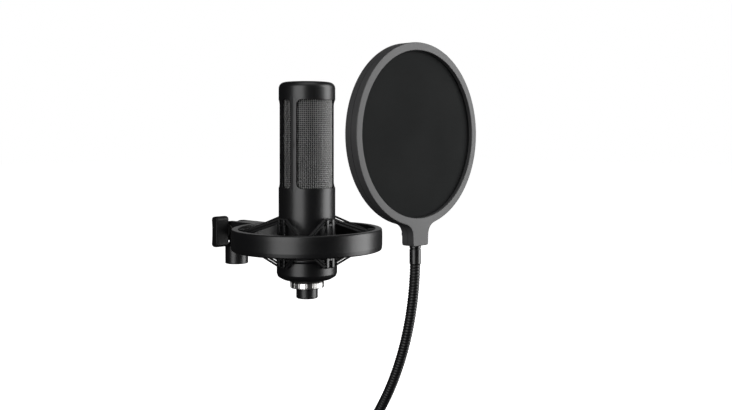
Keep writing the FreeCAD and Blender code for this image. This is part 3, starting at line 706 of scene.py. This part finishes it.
def cell_loop(loop, half_width, corner, cell_half, cell_low, cell_high):
    """The matching points of a window outline on the border of its cell."""
    border = []
    bend = corner + EASE
    wide = half_width + EASE
    low, high = WINDOW_LOW - EASE, WINDOW_HIGH + EASE
    for x, z in loop:
        inside_x = abs(x) <= wide - bend + 1e-6
        inside_z = low + bend - 1e-6 <= z <= high - bend + 1e-6
        if inside_x:
            border.append((x, cell_low if z < (low + high) / 2 else cell_high))
        elif inside_z:
            border.append((math.copysign(cell_half, x), z))
        else:
            centre_x = math.copysign(wide - bend, x)
            centre_z = low + bend if z < (low + high) / 2 else high - bend
            angle = math.degrees(math.atan2(abs(z - centre_z), abs(x - centre_x)))
            edge_z = cell_low if z < (low + high) / 2 else cell_high
            if angle > 44.9:
                share = (90 - angle) / 45
                border.append((centre_x + (math.copysign(cell_half, x) - centre_x) * share, edge_z))
            else:
                share = angle / 45
                border.append((math.copysign(cell_half, x), centre_z + (edge_z - centre_z) * share))
    return border


def on_wall(centre_angle, x, z, radius):
    """A point on the tube, from arc length measured at the outer wall."""
    angle = centre_angle + x / BODY_RADIUS
    return Vector((radius * math.sin(angle), MIC_Y - radius * math.cos(angle), z))


cell_low, cell_high = WINDOW_LOW - 3.5, WINDOW_HIGH + 3.5
inner_radius = BODY_RADIUS - BODY_WALL
points, faces = [], []
border_angles = set()
wide_half, wide_corner = math.radians(64.0) * BODY_RADIUS, 5.0
slim_half, slim_corner = math.radians(13.2) * BODY_RADIUS, 3.4
pillar = (math.radians(90) * BODY_RADIUS - wide_half - slim_half) / 2
for quarter in range(4):
    centre_angle = math.radians(90 * quarter)
    half, corner = (wide_half, wide_corner) if quarter % 2 == 0 else (slim_half, slim_corner)
    outer_loop = window_loop(half, corner, EASE)
    edge_loop = window_loop(half, corner, 0.0)
    mid_loop = window_loop(half, corner, EASE * 0.3)
    border = cell_loop(outer_loop, half, corner, half + pillar, cell_low, cell_high)
    for x, z in border:
        if z in (cell_low, cell_high):
            border_angles.add(round((centre_angle + x / BODY_RADIUS) % math.tau, 6))
    rings = [
        (border, BODY_RADIUS), (outer_loop, BODY_RADIUS), (mid_loop, BODY_RADIUS - EASE * 0.3),
        (edge_loop, BODY_RADIUS - EASE), (edge_loop, inner_radius + EASE * 0.6),
        (outer_loop, inner_radius), (border, inner_radius),
    ]
    start = len(points)
    count = len(border)
    for loop, radius in rings:
        points += [on_wall(centre_angle, x, z, radius) for x, z in loop]
    for ring_index in range(len(rings) - 1):
        a, b = start + ring_index * count, start + (ring_index + 1) * count
        for k in range(count):
            nxt = (k + 1) % count
            faces.append((a + k, a + nxt, b + nxt, b + k))
angles = sorted(border_angles)
tube_top = 170.0
outer_low = [(inner_radius, cell_low), (inner_radius, 3.1), (inner_radius + 0.4, 2.55),
             (BODY_RADIUS - 0.4, 2.55), (BODY_RADIUS, 3.1), (BODY_RADIUS, 30), (BODY_RADIUS, cell_low)]
outer_high = [(BODY_RADIUS, cell_high)]
for step in range(11):
    angle = math.radians(90 * step / 10)
    outer_high.append((BODY_RADIUS - 5.5 + 5.5 * math.cos(angle), tube_top - 5.7 + 5.5 * math.sin(angle)))
outer_high += [(13.0, tube_top - 0.08), (6.0, tube_top - 0.02), (0.0, tube_top), (0.0, tube_top - 2.2),
               (inner_radius - 4, tube_top - 2.2), (inner_radius, tube_top - 6), (inner_radius, cell_high)]
for rows in (outer_low, outer_high):
    start = len(points)
    for angle in angles:
        points += [Vector((r * math.sin(angle), MIC_Y - r * math.cos(angle), z)) for r, z in rows]
    step = len(rows)
    for k in range(len(angles)):
        a, b = start + k * step, start + ((k + 1) % len(angles)) * step
        for i in range(step - 1):
            faces.append((a + i, b + i, b + i + 1, a + i + 1))
tube = even_shading(piece("microphone_body_tube", points, faces, 40))
finish(tube, body_black, "microphone", "satin_black_metal", "body_tube")

# ---- Grille --------------------------------------------------------------------------------
# A plain square weave of bright steel wire rolled into a tube with turned-in ends, and a much
# finer mesh behind it. Both sit between two moulded collars inside the body.
WEAVE = 1.7
WIRE = 0.25
MESH_RADIUS = 21.7
wire_look = bright_metal("woven_steel_wire", (0.34, 0.34, 0.335), 0.38, 2500)


def weave_tube(name, radius, low, high):
    """Rings and uprights that pass over and under each other."""
    uprights = int(math.tau * radius / WEAVE / 2) * 2
    rings = int((high - low) / WEAVE)
    points, faces = [], []
    section = [(0.0, WIRE), (-WIRE, 0.0), (0.0, -WIRE), (WIRE, 0.0)]

    def tube(centres, across, closed):
        start = len(points)
        for centre, side in zip(centres, across):
            outward = Vector((centre.x, centre.y - MIC_Y, 0)).normalized()
            points.extend(centre + side * s + outward * o for s, o in section)
        count = len(centres)
        for i in range(count if closed else count - 1):
            a, b = start + 4 * i, start + 4 * ((i + 1) % count)
            for k in range(4):
                faces.append((a + k, a + (k + 1) % 4, b + (k + 1) % 4, b + k))

    def at(turn, height, over):
        angle = math.tau * turn / uprights
        lift = radius + over * WIRE * 0.95
        ends = min(1.0, (height - low) / 2.5, (high - height) / 2.5)
        lift -= 1.2 * (1 - max(ends, 0.0)) ** 2
        return Vector((lift * math.cos(angle), MIC_Y + lift * math.sin(angle), height))

    for ring in range(rings + 1):
        height = low + ring * WEAVE
        turns = [k / 2 for k in range(uprights * 2)]
        centres = [at(t, height, math.cos(math.pi * (t + ring))) for t in turns]
        tube(centres, [Vector((0, 0, 1))] * len(centres), True)
    for upright in range(uprights):
        angle = math.tau * upright / uprights
        side = Vector((-math.sin(angle), math.cos(angle), 0))
        steps = [k / 2 for k in range(rings * 2 + 1)]
        centres = [at(upright, low + s * WEAVE, -math.cos(math.pi * (upright + s))) for s in steps]
        tube(centres, [side] * len(centres), False)
    return piece(name, points, faces, 180)


outer_mesh = weave_tube("outer_wire_grille", MESH_RADIUS, 72.7, 158.2)
finish(outer_mesh, wire_look, "microphone", "nickel", "grille_mesh")

fine_mesh, shader, place = material("fine_inner_mesh", (0.05, 0.05, 0.05), 0.5, metallic=0.6)
cell = place.node("ShaderNodeTexVoronoi", Vector=place, Scale=1400.0)
feed(shader, "Base Color", between((0.09, 0.09, 0.09), (0.015, 0.015, 0.015), cell * 1.2))
bumped(shader, cell, 0.0001)
liner = turned("inner_fine_mesh", [(20.75, 72.6, 0), (20.95, 72.6, 0), (20.95, 158.4, 0), (20.75, 158.4, 0)],
               MIC_CENTRE, count=96)
finish(liner, fine_mesh, "microphone", "nickel", "inner_mesh")
for name, low, high, node in (("lower_grille_collar", 67.6, 72.4, "lower_collar"),
                              ("upper_grille_collar", 158.6, 163.4, "upper_collar")):
    wall = [(20.3, low, 0.3), (23.4, low, 0.3), (23.4, high, 0.3), (20.3, high, 0.3)]
    collar = turned(name, wall, MIC_CENTRE)
    finish(collar, peg_plastic, "microphone", "satin_black_metal", node)

# ---- Capsule -------------------------------------------------------------------------------
# A brass capsule ring with a drilled backplate between two gold-sputtered diaphragms, standing
# in a soft rubber saddle on top of the chassis.
gold_film = bright_metal("gold_film", (0.9, 0.68, 0.3), 0.12)
CAPSULE_HEIGHT = 120.0
capsule_centre = (0, MIC_Y, CAPSULE_HEIGHT)
ring_body = turned(
    "capsule_brass_ring",
    [(12.9, -4.5, 0.3), (14.2, -4.5, 0), (14.2, -4.0, 0), (16.0, -4.0, 0.3), (17.0, -3.2, 0.3),
     (17.0, 3.2, 0.3), (16.0, 4.0, 0.3), (14.2, 4.0, 0), (14.2, 4.5, 0), (12.9, 4.5, 0.3)],
    capsule_centre, "y", 96,
)
finish(ring_body, brass, "microphone", "brass_gold", "capsule_ring")
plate_body = turned("drilled_backplate", [(0, -3.3, 0), (12.7, -3.3, 0.2), (12.7, 3.3, 0.2), (0, 3.3, 0)],
                    capsule_centre, "y", 72, False)
finish(plate_body, brass, "microphone", "brass_gold", "backplate")
for name, y, node in (
    ("front_gold_diaphragm", -3.7, "front_diaphragm"), ("rear_gold_diaphragm", 3.6, "rear_diaphragm"),
):
    skin = [(0, y, 0), (6, y, 0), (12.7, y, 0), (12.7, y + 0.1, 0), (6, y + 0.1, 0), (0, y + 0.1, 0)]
    film = turned(name, skin, capsule_centre, "y", 72, False)
    finish(film, gold_film, "microphone", "brass_gold", node)


def rubber(name, colour, rough=0.6):
    """Moulded rubber: matt, with a fine bloom."""
    made, shader, place = material(name, colour, rough, specular=0.4)
    bloom = noise(place, 90, 5, 0.6)
    fine = noise(place, 2400, 2)
    feed(shader, "Roughness", rough - 0.05 + 0.12 * bloom)
    feed(shader, "Base Color", between(colour, tuple(c * 1.5 + 0.001 for c in colour), bloom))
    bumped(shader, fine, 0.00002, 0.5)
    return made


saddle_rubber = rubber("saddle_rubber", (0.02, 0.02, 0.021))
steel = bright_metal("plain_steel", (0.55, 0.55, 0.54), 0.35)

# ---- Chassis and electronics ---------------------------------------------------------------
# Two steel rails and a top plate, with the circuit board, the output transformer and four
# capacitors between them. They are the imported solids, closed in by the body.
board, shader, place = material("green_board", (0.02, 0.12, 0.05), 0.35, specular=0.5, coat=0.3)
tracks = place.node("ShaderNodeTexWave", {"wave_type": "BANDS", "bands_direction": "DIAGONAL"}, Vector=place,
                    Scale=190.0, Distortion=9.0)
feed(shader, "Base Color", between((0.015, 0.09, 0.035), (0.04, 0.2, 0.08), tracks))
bumped(shader, tracks, 0.00003)
for node, look in (
    ("capsule_saddle", saddle_rubber), ("chassis", steel), ("circuit_board", board),
    ("output_transformer", steel), ("capacitors", plastic("capacitor_sleeve", (0.03, 0.03, 0.05), 0.3)),
):
    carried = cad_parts[node]
    carried.data.materials.clear()
    carried.data.materials.append(look)

# ---- Base plate and connector shell --------------------------------------------------------
# A steel floor plate carries the threaded tail, which is also the shell of the three-pin
# connector. Three screws hold its flange. The shell has a moulded insert; its latch slot is not cut.
base = turned(
    "base_floor_plate", [(9.65, 3.1, 0.2), (23.4, 3.1, 0.3), (23.4, 6.1, 0.3), (9.65, 6.1, 0.2)], MIC_CENTRE,
)
finish(base, steel, "microphone", "plain_steel", "base_plate")
TAIL_LOW = -20.5


def shell_thread(radius, height, angle):
    """Cuts the lock ring's fine thread on the upper part of the shell."""
    if not (9.4 < radius < 9.7 and -12.2 < height < 1.5):
        return radius
    phase = (height / 1.5 - angle / math.tau) % 1
    return radius - 0.3 * (1 - abs(2 * phase - 1))


thread_rows = [(9.55, -12.4 + 14.2 * k / 90, 0) for k in range(91)]
shell = turned(
    "connector_shell_tail",
    [(8.1, TAIL_LOW, 0.4), (9.55, TAIL_LOW, 0.9)] + thread_rows
    + [(9.55, 6.2, 0), (12.9, 6.2, 0.3), (12.9, 7.8, 0.3), (8.1, 7.8, 0.3)],
    MIC_CENTRE, count=72, ripple=shell_thread,
)
finish(shell, body_black, "microphone", "satin_black_metal", "connector_shell")
insert_plastic = plastic("insert_plastic", (0.015, 0.015, 0.016), 0.35)
insert = turned("connector_insert_disc", [(0, -8.45, 0), (6.9, -8.45, 0.3), (7.2, -8.1, 0), (8.0, -8.1, 0.2),
                                          (8.0, -2.6, 0.2), (0, -2.6, 0)], MIC_CENTRE, "z", 72, False)
finish(insert, insert_plastic, "microphone", "black_plastic", "connector_insert")
pin_side = [(0, -18.3, 0), (1.2, -18.3, 0.9), (1.2, 0.6, 0.2), (0, 0.6, 0)]
screw_side = [(0, 8.05, 0), (0.9, 8.05, 0), (0.9, 10.9, 0.3), (0, 10.9, 0)]
pins, screws = [], []
for third in range(3):
    angle = math.radians(60 + 120 * third)
    at = (4.05 * math.sin(angle), MIC_Y - 4.05 * math.cos(angle), 0)
    pins.append(turned("pin", pin_side, at, "z", 32, False))
    angle = math.radians(30 + 120 * third)
    at = (11.3 * math.cos(angle), MIC_Y + 11.3 * math.sin(angle), 0)
    screws.append(turned("screw", screw_side, at, "z", 24, False))
finish(join("connector_pin_set", *pins), nickel, "microphone", "nickel", "connector_pins")
finish(join("base_screw_set", *screws), nickel, "microphone", "nickel", "base_screws")

# ---- Lock ring -----------------------------------------------------------------------------
# A nickel-plated ring nut that runs on the tail's thread and clamps the microphone in its cup.
# Its rim has broad flats with a narrow notch between each pair for the fingers.
FLATS = 16


def fluted(radius, height, angle):
    """Cuts the ring's rim to flats with a notch at each corner."""
    if radius < 14.2:
        return radius
    across = (angle * FLATS / math.tau) % 1 - 0.5
    flat = 15.0 * math.cos(math.pi / FLATS) / math.cos(across * math.tau / FLATS)
    notch = max(0.0, 1 - ((0.5 - abs(across)) / 0.09) ** 2)
    return min(radius, flat + 0.15) - 0.8 * notch


lock = turned(
    "lock_ring_nut",
    [(9.65, -11.13, 0.3), (14.4, -11.13, 0.3), (15.15, -10.4, 0.3), (15.15, -6.3, 0.3), (14.4, -5.57, 0.3),
     (9.65, -5.57, 0.3)],
    MIC_CENTRE, count=FLATS * 24, ripple=fluted,
)
finish(lock, nickel, "lock_ring", "nickel", "lock_ring")
washer = turned(
    "lock_fibre_washer", [(9.7, -5.5, 0), (13.7, -5.5, 0.1), (13.7, -5.04, 0.1), (9.7, -5.04, 0)], MIC_CENTRE,
)
finish(washer, fibre, "lock_washer", "washer_plastic", "lock_washer")

# ---- Pop filter frame ----------------------------------------------------------------------
# Two moulded half hoops with a short flared neck, closed by two screws from behind. The broad
# front face is flat and fine-grained, and the inner wall drops straight to the cloth.
FILTER_Y, FILTER_HEIGHT = -227.0, 123.7
FILTER_RADIUS, FILTER_OPENING = 71.4, 65.1
# Its base colour is lighter than the other black plastics: a painted sheen that stands in for the soft box's
# reflection on the broad front face.
filter_plastic_painted_sheen = plastic("filter_plastic_painted_sheen", (0.041, 0.041, 0.042), 0.5, 1300, 0.000018)


def filter_outline():
    """The outer edge, as matching points on the hoop's inner circle and on the outside."""
    join_angle = math.radians(14.5)

    def on_rim(angle):
        return Vector((FILTER_RADIUS * math.sin(angle), FILTER_HEIGHT - FILTER_RADIUS * math.cos(angle)))

    start = on_rim(join_angle)
    lean = Vector((-math.cos(join_angle), -math.sin(join_angle)))
    foot = Vector((8.75, 41.5))
    side = []
    for step in range(15):
        t = step / 14
        side.append(start * (1 - t) ** 3 + (start + lean * 7.0) * 3 * t * (1 - t) ** 2
                    + (foot + Vector((0, 7.5))) * 3 * t * t * (1 - t) + foot * t ** 3)
    low = 36.85
    side += [Vector((8.75, 38.2)), Vector((8.35, low + 0.2)), Vector((7.6, low))]
    right = side[::-1]
    outer = [Vector((0, low)), Vector((3.8, low))] + right
    steps = 150
    for step in range(1, steps):
        angle = join_angle + (math.tau - 2 * join_angle) * step / steps
        outer.append(on_rim(angle))
    outer += [Vector((-p.x, p.y)) for p in side] + [Vector((-3.8, low))]
    inner = []
    for p in outer:
        way = (p - Vector((0, FILTER_HEIGHT))).normalized()
        inner.append(Vector((0, FILTER_HEIGHT)) + way * FILTER_OPENING)
    return outer, inner


def half_frame(name, face, back):
    """One half of the frame, with its outer face at one depth and the parting face at another."""
    outer, inner = filter_outline()
    count = len(outer)
    away = 1 if back > face else -1
    rings = [
        [(p, back) for p in inner], [(p, face + away * 0.5) for p in inner],
        [(q + (p - q).normalized() * 0.45, face) for p, q in zip(outer, inner)],
        [(p + (q - p).normalized() * 0.75, face) for p, q in zip(outer, inner)],
        [(p + (q - p).normalized() * 0.22, face + away * 0.22) for p, q in zip(outer, inner)],
        [(p, face + away * 0.8) for p in outer], [(p, back - away * 0.1) for p in outer],
        [(p + (q - p).normalized() * 0.1, back) for p, q in zip(outer, inner)],
    ]
    points = [Vector((p.x, depth, p.y)) for ring in rings for p, depth in ring]
    faces = []
    for r in range(len(rings)):
        a, b = r * count, ((r + 1) % len(rings)) * count
        for k in range(count):
            nxt = (k + 1) % count
            faces.append((a + k, a + nxt, b + nxt, b + k))
    return even_shading(piece(name, points, faces, 38))


for name, face, back, node in (
    ("filter_front_half", -233.0, -227.2, "filter_front_frame"),
    ("filter_rear_half", -221.0, -226.8, "filter_rear_frame"),
):
    half = half_frame(name, face, back)
    finish(half, filter_plastic_painted_sheen, "pop_filter", "black_plastic", node)

# ---- Pop filter cloth ----------------------------------------------------------------------
# Two layers of fine black nylon knit, heat-stretched flat over the hoops and held at the rim by
# a thin bead.
CLOTH_PITCH = 0.0011
cloth, shader, place = material("black_nylon_knit", (0.008, 0.009, 0.009), 0.8, specular=0.12)
axes = place.node("ShaderNodeSeparateXYZ", Vector=place)
up = Socket(axes.tree, axes.link.node.outputs[2])
warp = axes.math("SINE", axes * (math.tau / CLOTH_PITCH), 0.0)
weft = axes.math("SINE", up * (math.tau / CLOTH_PITCH), 0.0)
knit = (warp * weft + 1.0) * 0.5
fuzz = noise(place, 2600, 3)
sag = noise(place, 14, 2)
gap_black, yarn_black = (0.002, 0.0023, 0.0024), (0.012, 0.0135, 0.0135)
feed(shader, "Base Color", between(gap_black, yarn_black, knit * 0.75 + fuzz * 0.25))
feed(shader, "Roughness", 0.66 + 0.2 * sag)
bumped(shader, knit * 0.8 + fuzz * 0.2, 0.00012, 0.7)
for name, depth, away, node in (
    ("front_nylon_cloth", -229.8, 1, "front_cloth"), ("rear_nylon_cloth", -224.2, -1, "rear_cloth"),
):
    rows = [(0.0, depth + away * 0.12), (20, depth + away * 0.1), (40, depth + away * 0.06),
            (58, depth + away * 0.02), (64.1, depth), (64.3, depth - away * 0.35),
            (64.6, depth - away * 0.5), (64.95, depth - away * 0.35), (65.05, depth + away * 0.25),
            (0.0, depth + away * 0.3)]
    disc = turned(name, [(*r, 0) for r in rows], (0, 0, FILTER_HEIGHT), "y", 160, False)
    finish(disc, cloth, "pop_filter", "cloth", node)

# ---- Filter screws -------------------------------------------------------------------------
# Two pan-head screws with cross recesses close the neck from behind.
screws = []
for x in (-6.2, 6.2):
    centre = (x, 0, 45.8)
    screw = turned("screw", [(0, -231.4, 0), (1.25, -231.4, 0.2), (1.25, -220.95, 0), (2.4, -220.95, 0),
                             (2.4, -220.3, 0.4), (1.5, -219.75, 0.6), (0, -219.7, 0)], centre, "y", 40, False)
    cross = [plate("cross", [(45.8 + a, x + b) for a, b in shape], -220.15, -219, "y")
             for shape in (((-1.2, -0.22), (1.2, -0.22), (1.2, 0.22), (-1.2, 0.22)),
                           ((-0.22, -1.2), (0.22, -1.2), (0.22, 1.2), (-0.22, 1.2)))]
    screws.append(mend(screw, *cross))
finish(join("filter_screw_pair", *screws), nickel, "pop_filter", "nickel", "filter_screws")

# ---- Gooseneck -----------------------------------------------------------------------------
# A steel-core gooseneck: a round helical winding with a black sleeve shrunk over it, so the ribs
# show. It runs from the ferrule under the filter, down and back to the clamp on the stand.
HOSE_RADIUS, RIB_PITCH, RIB_DEPTH = 4.2, 2.35, 0.5
HOSE_TOP, UPPER_BEND, LOWER_BEND = 28.65, 237.0, 130.0
UPPER_TURN = math.radians(35)
UPPER_RUN = UPPER_BEND * UPPER_TURN
LOWER_RUN = UPPER_RUN + LOWER_BEND * (math.pi / 2 - UPPER_TURN)
FERRULE_LOW, LOW_FERRULE = 22.0, -70.0
LINKS = 8


def hose_point(run):
    """The point of the hose's middle line this far below its top."""
    y, z = FILTER_Y, HOSE_TOP
    if run <= 0:
        return Vector((0, y, z - run))
    if run <= UPPER_RUN:
        slope = run / UPPER_BEND
        return Vector((0, y + UPPER_BEND * (1 - math.cos(slope)), z - UPPER_BEND * math.sin(slope)))
    y += UPPER_BEND * (1 - math.cos(UPPER_TURN))
    z -= UPPER_BEND * math.sin(UPPER_TURN)
    if run <= LOWER_RUN:
        slope = UPPER_TURN + (run - UPPER_RUN) / LOWER_BEND
        return Vector((0, y + LOWER_BEND * (math.cos(UPPER_TURN) - math.cos(slope)),
                       z - LOWER_BEND * (math.sin(slope) - math.sin(UPPER_TURN))))
    y += LOWER_BEND * math.cos(UPPER_TURN)
    z -= LOWER_BEND * (1 - math.sin(UPPER_TURN))
    return Vector((0, y + run - LOWER_RUN, z))


hose_rubber = rubber("hose_sleeve", (0.006, 0.006, 0.0063), 0.4)
first = HOSE_TOP - FERRULE_LOW + 0.2
last = LOWER_RUN + LOW_FERRULE - hose_point(LOWER_RUN).y - 0.05
link_run = (last - first) / LINKS


def rib(run, angle, offset=0.0):
    """The hose's radius, ribbed by its winding."""
    phase = ((run + offset) / RIB_PITCH - angle / math.tau) % 1
    return HOSE_RADIUS - 0.02 - RIB_DEPTH * (1 - math.sin(math.pi * phase) ** 0.8)


def hose_part(name, start, end):
    """One length of ribbed hose between two distances."""
    steps = int((end - start) / (RIB_PITCH / 8))
    path = [hose_point(start + (end - start) * k / steps) for k in range(steps + 1)]
    return swept(name, path, lambda run, angle: rib(run, angle, start), False, 24)


stops = [first] + [first + link_run * (k + 0.5) for k in range(LINKS)] + [last]
for k in range(LINKS + 1):
    part = hose_part(f"gooseneck_hose_{k + 1}", stops[k], stops[k + 1])
    part.data.materials.append(hose_rubber)
    if k == 0:
        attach(part, "link_1")
    elif k == LINKS:
        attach(part, "stand_clamp")
    else:
        bend = first + link_run * k
        hose_point(bend - link_run * 0.42) * MM
        hose_point(bend + link_run * 0.42) * MM
        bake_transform(part)
    if k < LINKS:
        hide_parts(f"neck_link_{k + 1}")

# ---- Gooseneck ferrules --------------------------------------------------------------------
# Black turned end caps crimped on the hose. The upper one has a stem that turns in the filter's
# neck, and the lower one is pressed into the clamp.
ferrule_black = satin_paint("ferrule_black", (0.006, 0.006, 0.0063), 0.3)
upper = turned(
    "upper_ferrule_cap",
    [(0, 21.9, 0), (4.0, 21.9, 0.3), (4.5, 22.6, 0.3), (4.5, 33.6, 0.2), (4.15, 34.0, 0.1), (4.15, 34.6, 0.1),
     (4.5, 35.0, 0.2), (4.5, 36.6, 0.3), (2.5, 36.6, 0), (2.5, 47.9, 0.3), (0, 47.9, 0)],
    (0, FILTER_Y, 0), "z", 64, False,
)
finish(upper, ferrule_black, "link_1", "black_steel", "upper_ferrule")
CLAMP_HEIGHT = -162.7
CLAMP_CENTRE = (0, 0, CLAMP_HEIGHT)
lower = turned(
    "lower_ferrule_cap",
    [(0, -70, 0), (4.0, -70, 0.3), (4.5, -69.3, 0.3), (4.5, -30.0, 0.2), (4.2, -29.6, 0.1), (4.2, -28.6, 0.1),
     (4.5, -28.2, 0.2), (4.5, -19.2, 0.2), (0, -19.2, 0)],
    CLAMP_CENTRE, "y", 64, False,
)
finish(lower, ferrule_black, "stand_clamp", "black_steel", "lower_ferrule")

# ---- Stand clamp ---------------------------------------------------------------------------
# A cast C frame with a rubber jaw liner. A thumb screw with a fluted knob pushes a rubber pad
# against the stand's rod.
frame_side = [(-30, -24), (22, -24), (22, 13), (14, 13), (14, -14), (-22, -14), (-22, 13), (-30, 13)]
c_frame = plate("clamp_c_frame", frame_side, CLAMP_HEIGHT - 8, CLAMP_HEIGHT + 8, "z")
finish(eased(c_frame, 1.2, 4), body_black, "stand_clamp", "black_plastic", "clamp_frame")
jaw_side = [(0.3, -9.98), (13.98, -9.98), (13.98, 9.98), (0.3, 9.98)]
jaw = plate("jaw", jaw_side, CLAMP_HEIGHT - 7, CLAMP_HEIGHT + 7, "z")
hollow = turned("hollow", [(0, CLAMP_HEIGHT - 20, 0), (10, CLAMP_HEIGHT - 20, 0), (10, CLAMP_HEIGHT + 20, 0),
                           (0, CLAMP_HEIGHT + 20, 0)], (0, 0, 0), "z", 96, False)
trim_side = [(-5, -20), (6.02, -20), (6.02, 20), (-5, 20)]
trim = plate("trim", trim_side, CLAMP_HEIGHT - 20, CLAMP_HEIGHT + 20, "z")
liner = eased(mend(jaw, hollow, trim), 0.35)
liner.name = "rubber_jaw_liner"
finish(liner, saddle_rubber, "stand_clamp", "black_rubber", "jaw_liner")
pad = turned("rubber_pressure_pad", [(3.06, -14.5, 0.2), (6.5, -14.5, 0.5), (6.5, -10.5, 0.7), (0, -10.5, 0),
                                     (0, -12.0, 0), (3.06, -12.0, 0)], CLAMP_CENTRE, "x", 64, False)
finish(pad, saddle_rubber, "clamp_pad", "black_rubber", "clamp_pad")


def screw_thread(radius, height, angle):
    """Cuts the screw's coarse thread."""
    if radius < 2.95 or not -29 < height < -13:
        return radius
    phase = (height / 2.0 - angle / math.tau) % 1
    return radius - 0.5 * (1 - abs(2 * phase - 1))


screw_rows = [(3.0, -30.5 + 18.2 * k / 90, 0) for k in range(91)]
screw = turned(
    "clamp_thumb_screw",
    [(0, -47.9, 0), (3.0, -47.9, 0)] + screw_rows + [(2.4, -12.15, 0), (0, -12.15, 0)],
    CLAMP_CENTRE, "x", 48, False, ripple=screw_thread,
)
finish(screw, nickel, "clamp_screw", "nickel", "clamp_screw")


def grip(radius, height, angle):
    """Scallops the knob's rim for the fingers."""
    if radius < 8.5:
        return radius
    return radius - 1.1 * (0.5 + 0.5 * math.cos(8 * angle)) ** 3


knob = turned(
    "clamp_scalloped_knob",
    [(0, -48.95, 0), (8.2, -48.95, 0.6), (9.8, -48.2, 0.8), (10.9, -46.2, 1.0), (10.9, -39.4, 1.0),
     (9.4, -37.6, 0.8), (5.2, -37.05, 0.4), (3.06, -37.05, 0.2), (3.06, -47.95, 0), (0, -47.95, 0)],
    CLAMP_CENTRE, "x", 160, False, ripple=grip,
)
finish(knob, knob_plastic, "clamp_screw", "black_plastic", "clamp_knob")

# ---- Studio --------------------------------------------------------------------------------
# A plain white floor that casts no tint on the part, soft boxes at both sides, above and behind,
# and a level camera.
FLOOR_HEIGHT = -0.19
white, shader, place = material("pale_sweep", (0.92, 0.92, 0.92), 0.9, specular=0.1)
FLOOR_REACH = 9000
floor_corners = [
    (FLOOR_REACH * x, FLOOR_REACH * y, FLOOR_HEIGHT / MM) for x, y in ((-1, -1), (1, -1), (1, 1), (-1, 1))
]
floor = piece("studio_floor", floor_corners, [(0, 1, 2, 3)])
shader.inputs["Emission Color"].default_value = (1, 1, 1, 1)
shader.inputs["Emission Strength"].default_value = 1.0
floor.data.materials.append(white)
floor.visible_diffuse = False
floor.visible_glossy = False

AIM = Vector((0, -0.1, 0.08))
CAMERA_PLACE = Vector((-0.5119, -0.6679, 0.1215))
forward = Vector((0.7193, 0.6947, 0))
rightward = Vector((0.6947, -0.7193, 0))


def soft_box(name, bearing, height, distance, width, tall, power):
    """An area light at a bearing in degrees to the right of the camera, aimed at the object."""
    turn = math.radians(bearing)
    way = -forward * math.cos(turn) + rightward * math.sin(turn)
    light = bpy.data.lights.new(name, "AREA")
    light.shape = "RECTANGLE"
    light.size, light.size_y, light.energy = width, tall, power
    lamp = bpy.data.objects.new(name, light)
    lamp.location = AIM + way * distance + Vector((0, 0, height))
    lamp.rotation_euler = (AIM - lamp.location).to_track_quat("-Z", "Y").to_euler()
    bpy.context.scene.collection.objects.link(lamp)


soft_box("right_soft_box", 91, 0.15, 1.3, 0.98, 1.5, 25)
soft_box("left_soft_box", -29, 0.15, 1.5, 1.12, 1.5, 18)
soft_box("top_soft_box", 10, 1.6, 0.5, 1.4, 1.4, 7)
soft_box("back_soft_box", 180, 0.5, 1.6, 1.2, 1.2, 1.5)

world = bpy.data.worlds.new("studio")
bpy.context.scene.world = world
world.use_nodes = True
tree = world.node_tree
background = tree.nodes["Background"]
background.inputs["Strength"].default_value = 1.0
seen = Socket(tree, tree.nodes.new("ShaderNodeLightPath").outputs["Is Camera Ray"])
backdrop = between((0.012, 0.012, 0.012), (1, 1, 1), seen)
tree.links.new(backdrop.link, background.inputs["Color"])
bpy.context.scene.view_settings.view_transform = "Standard"

camera_data = bpy.data.cameras.new("camera")
camera_data.sensor_width = 36
camera_data.lens = 42.39
camera_data.shift_y = -0.0929
camera_data.clip_start = 0.01
camera = bpy.data.objects.new("camera", camera_data)
camera.location = CAMERA_PLACE
camera.rotation_euler = forward.to_track_quat("-Z", "Y").to_euler()
bpy.context.scene.collection.objects.link(camera)
bpy.context.scene.camera = camera
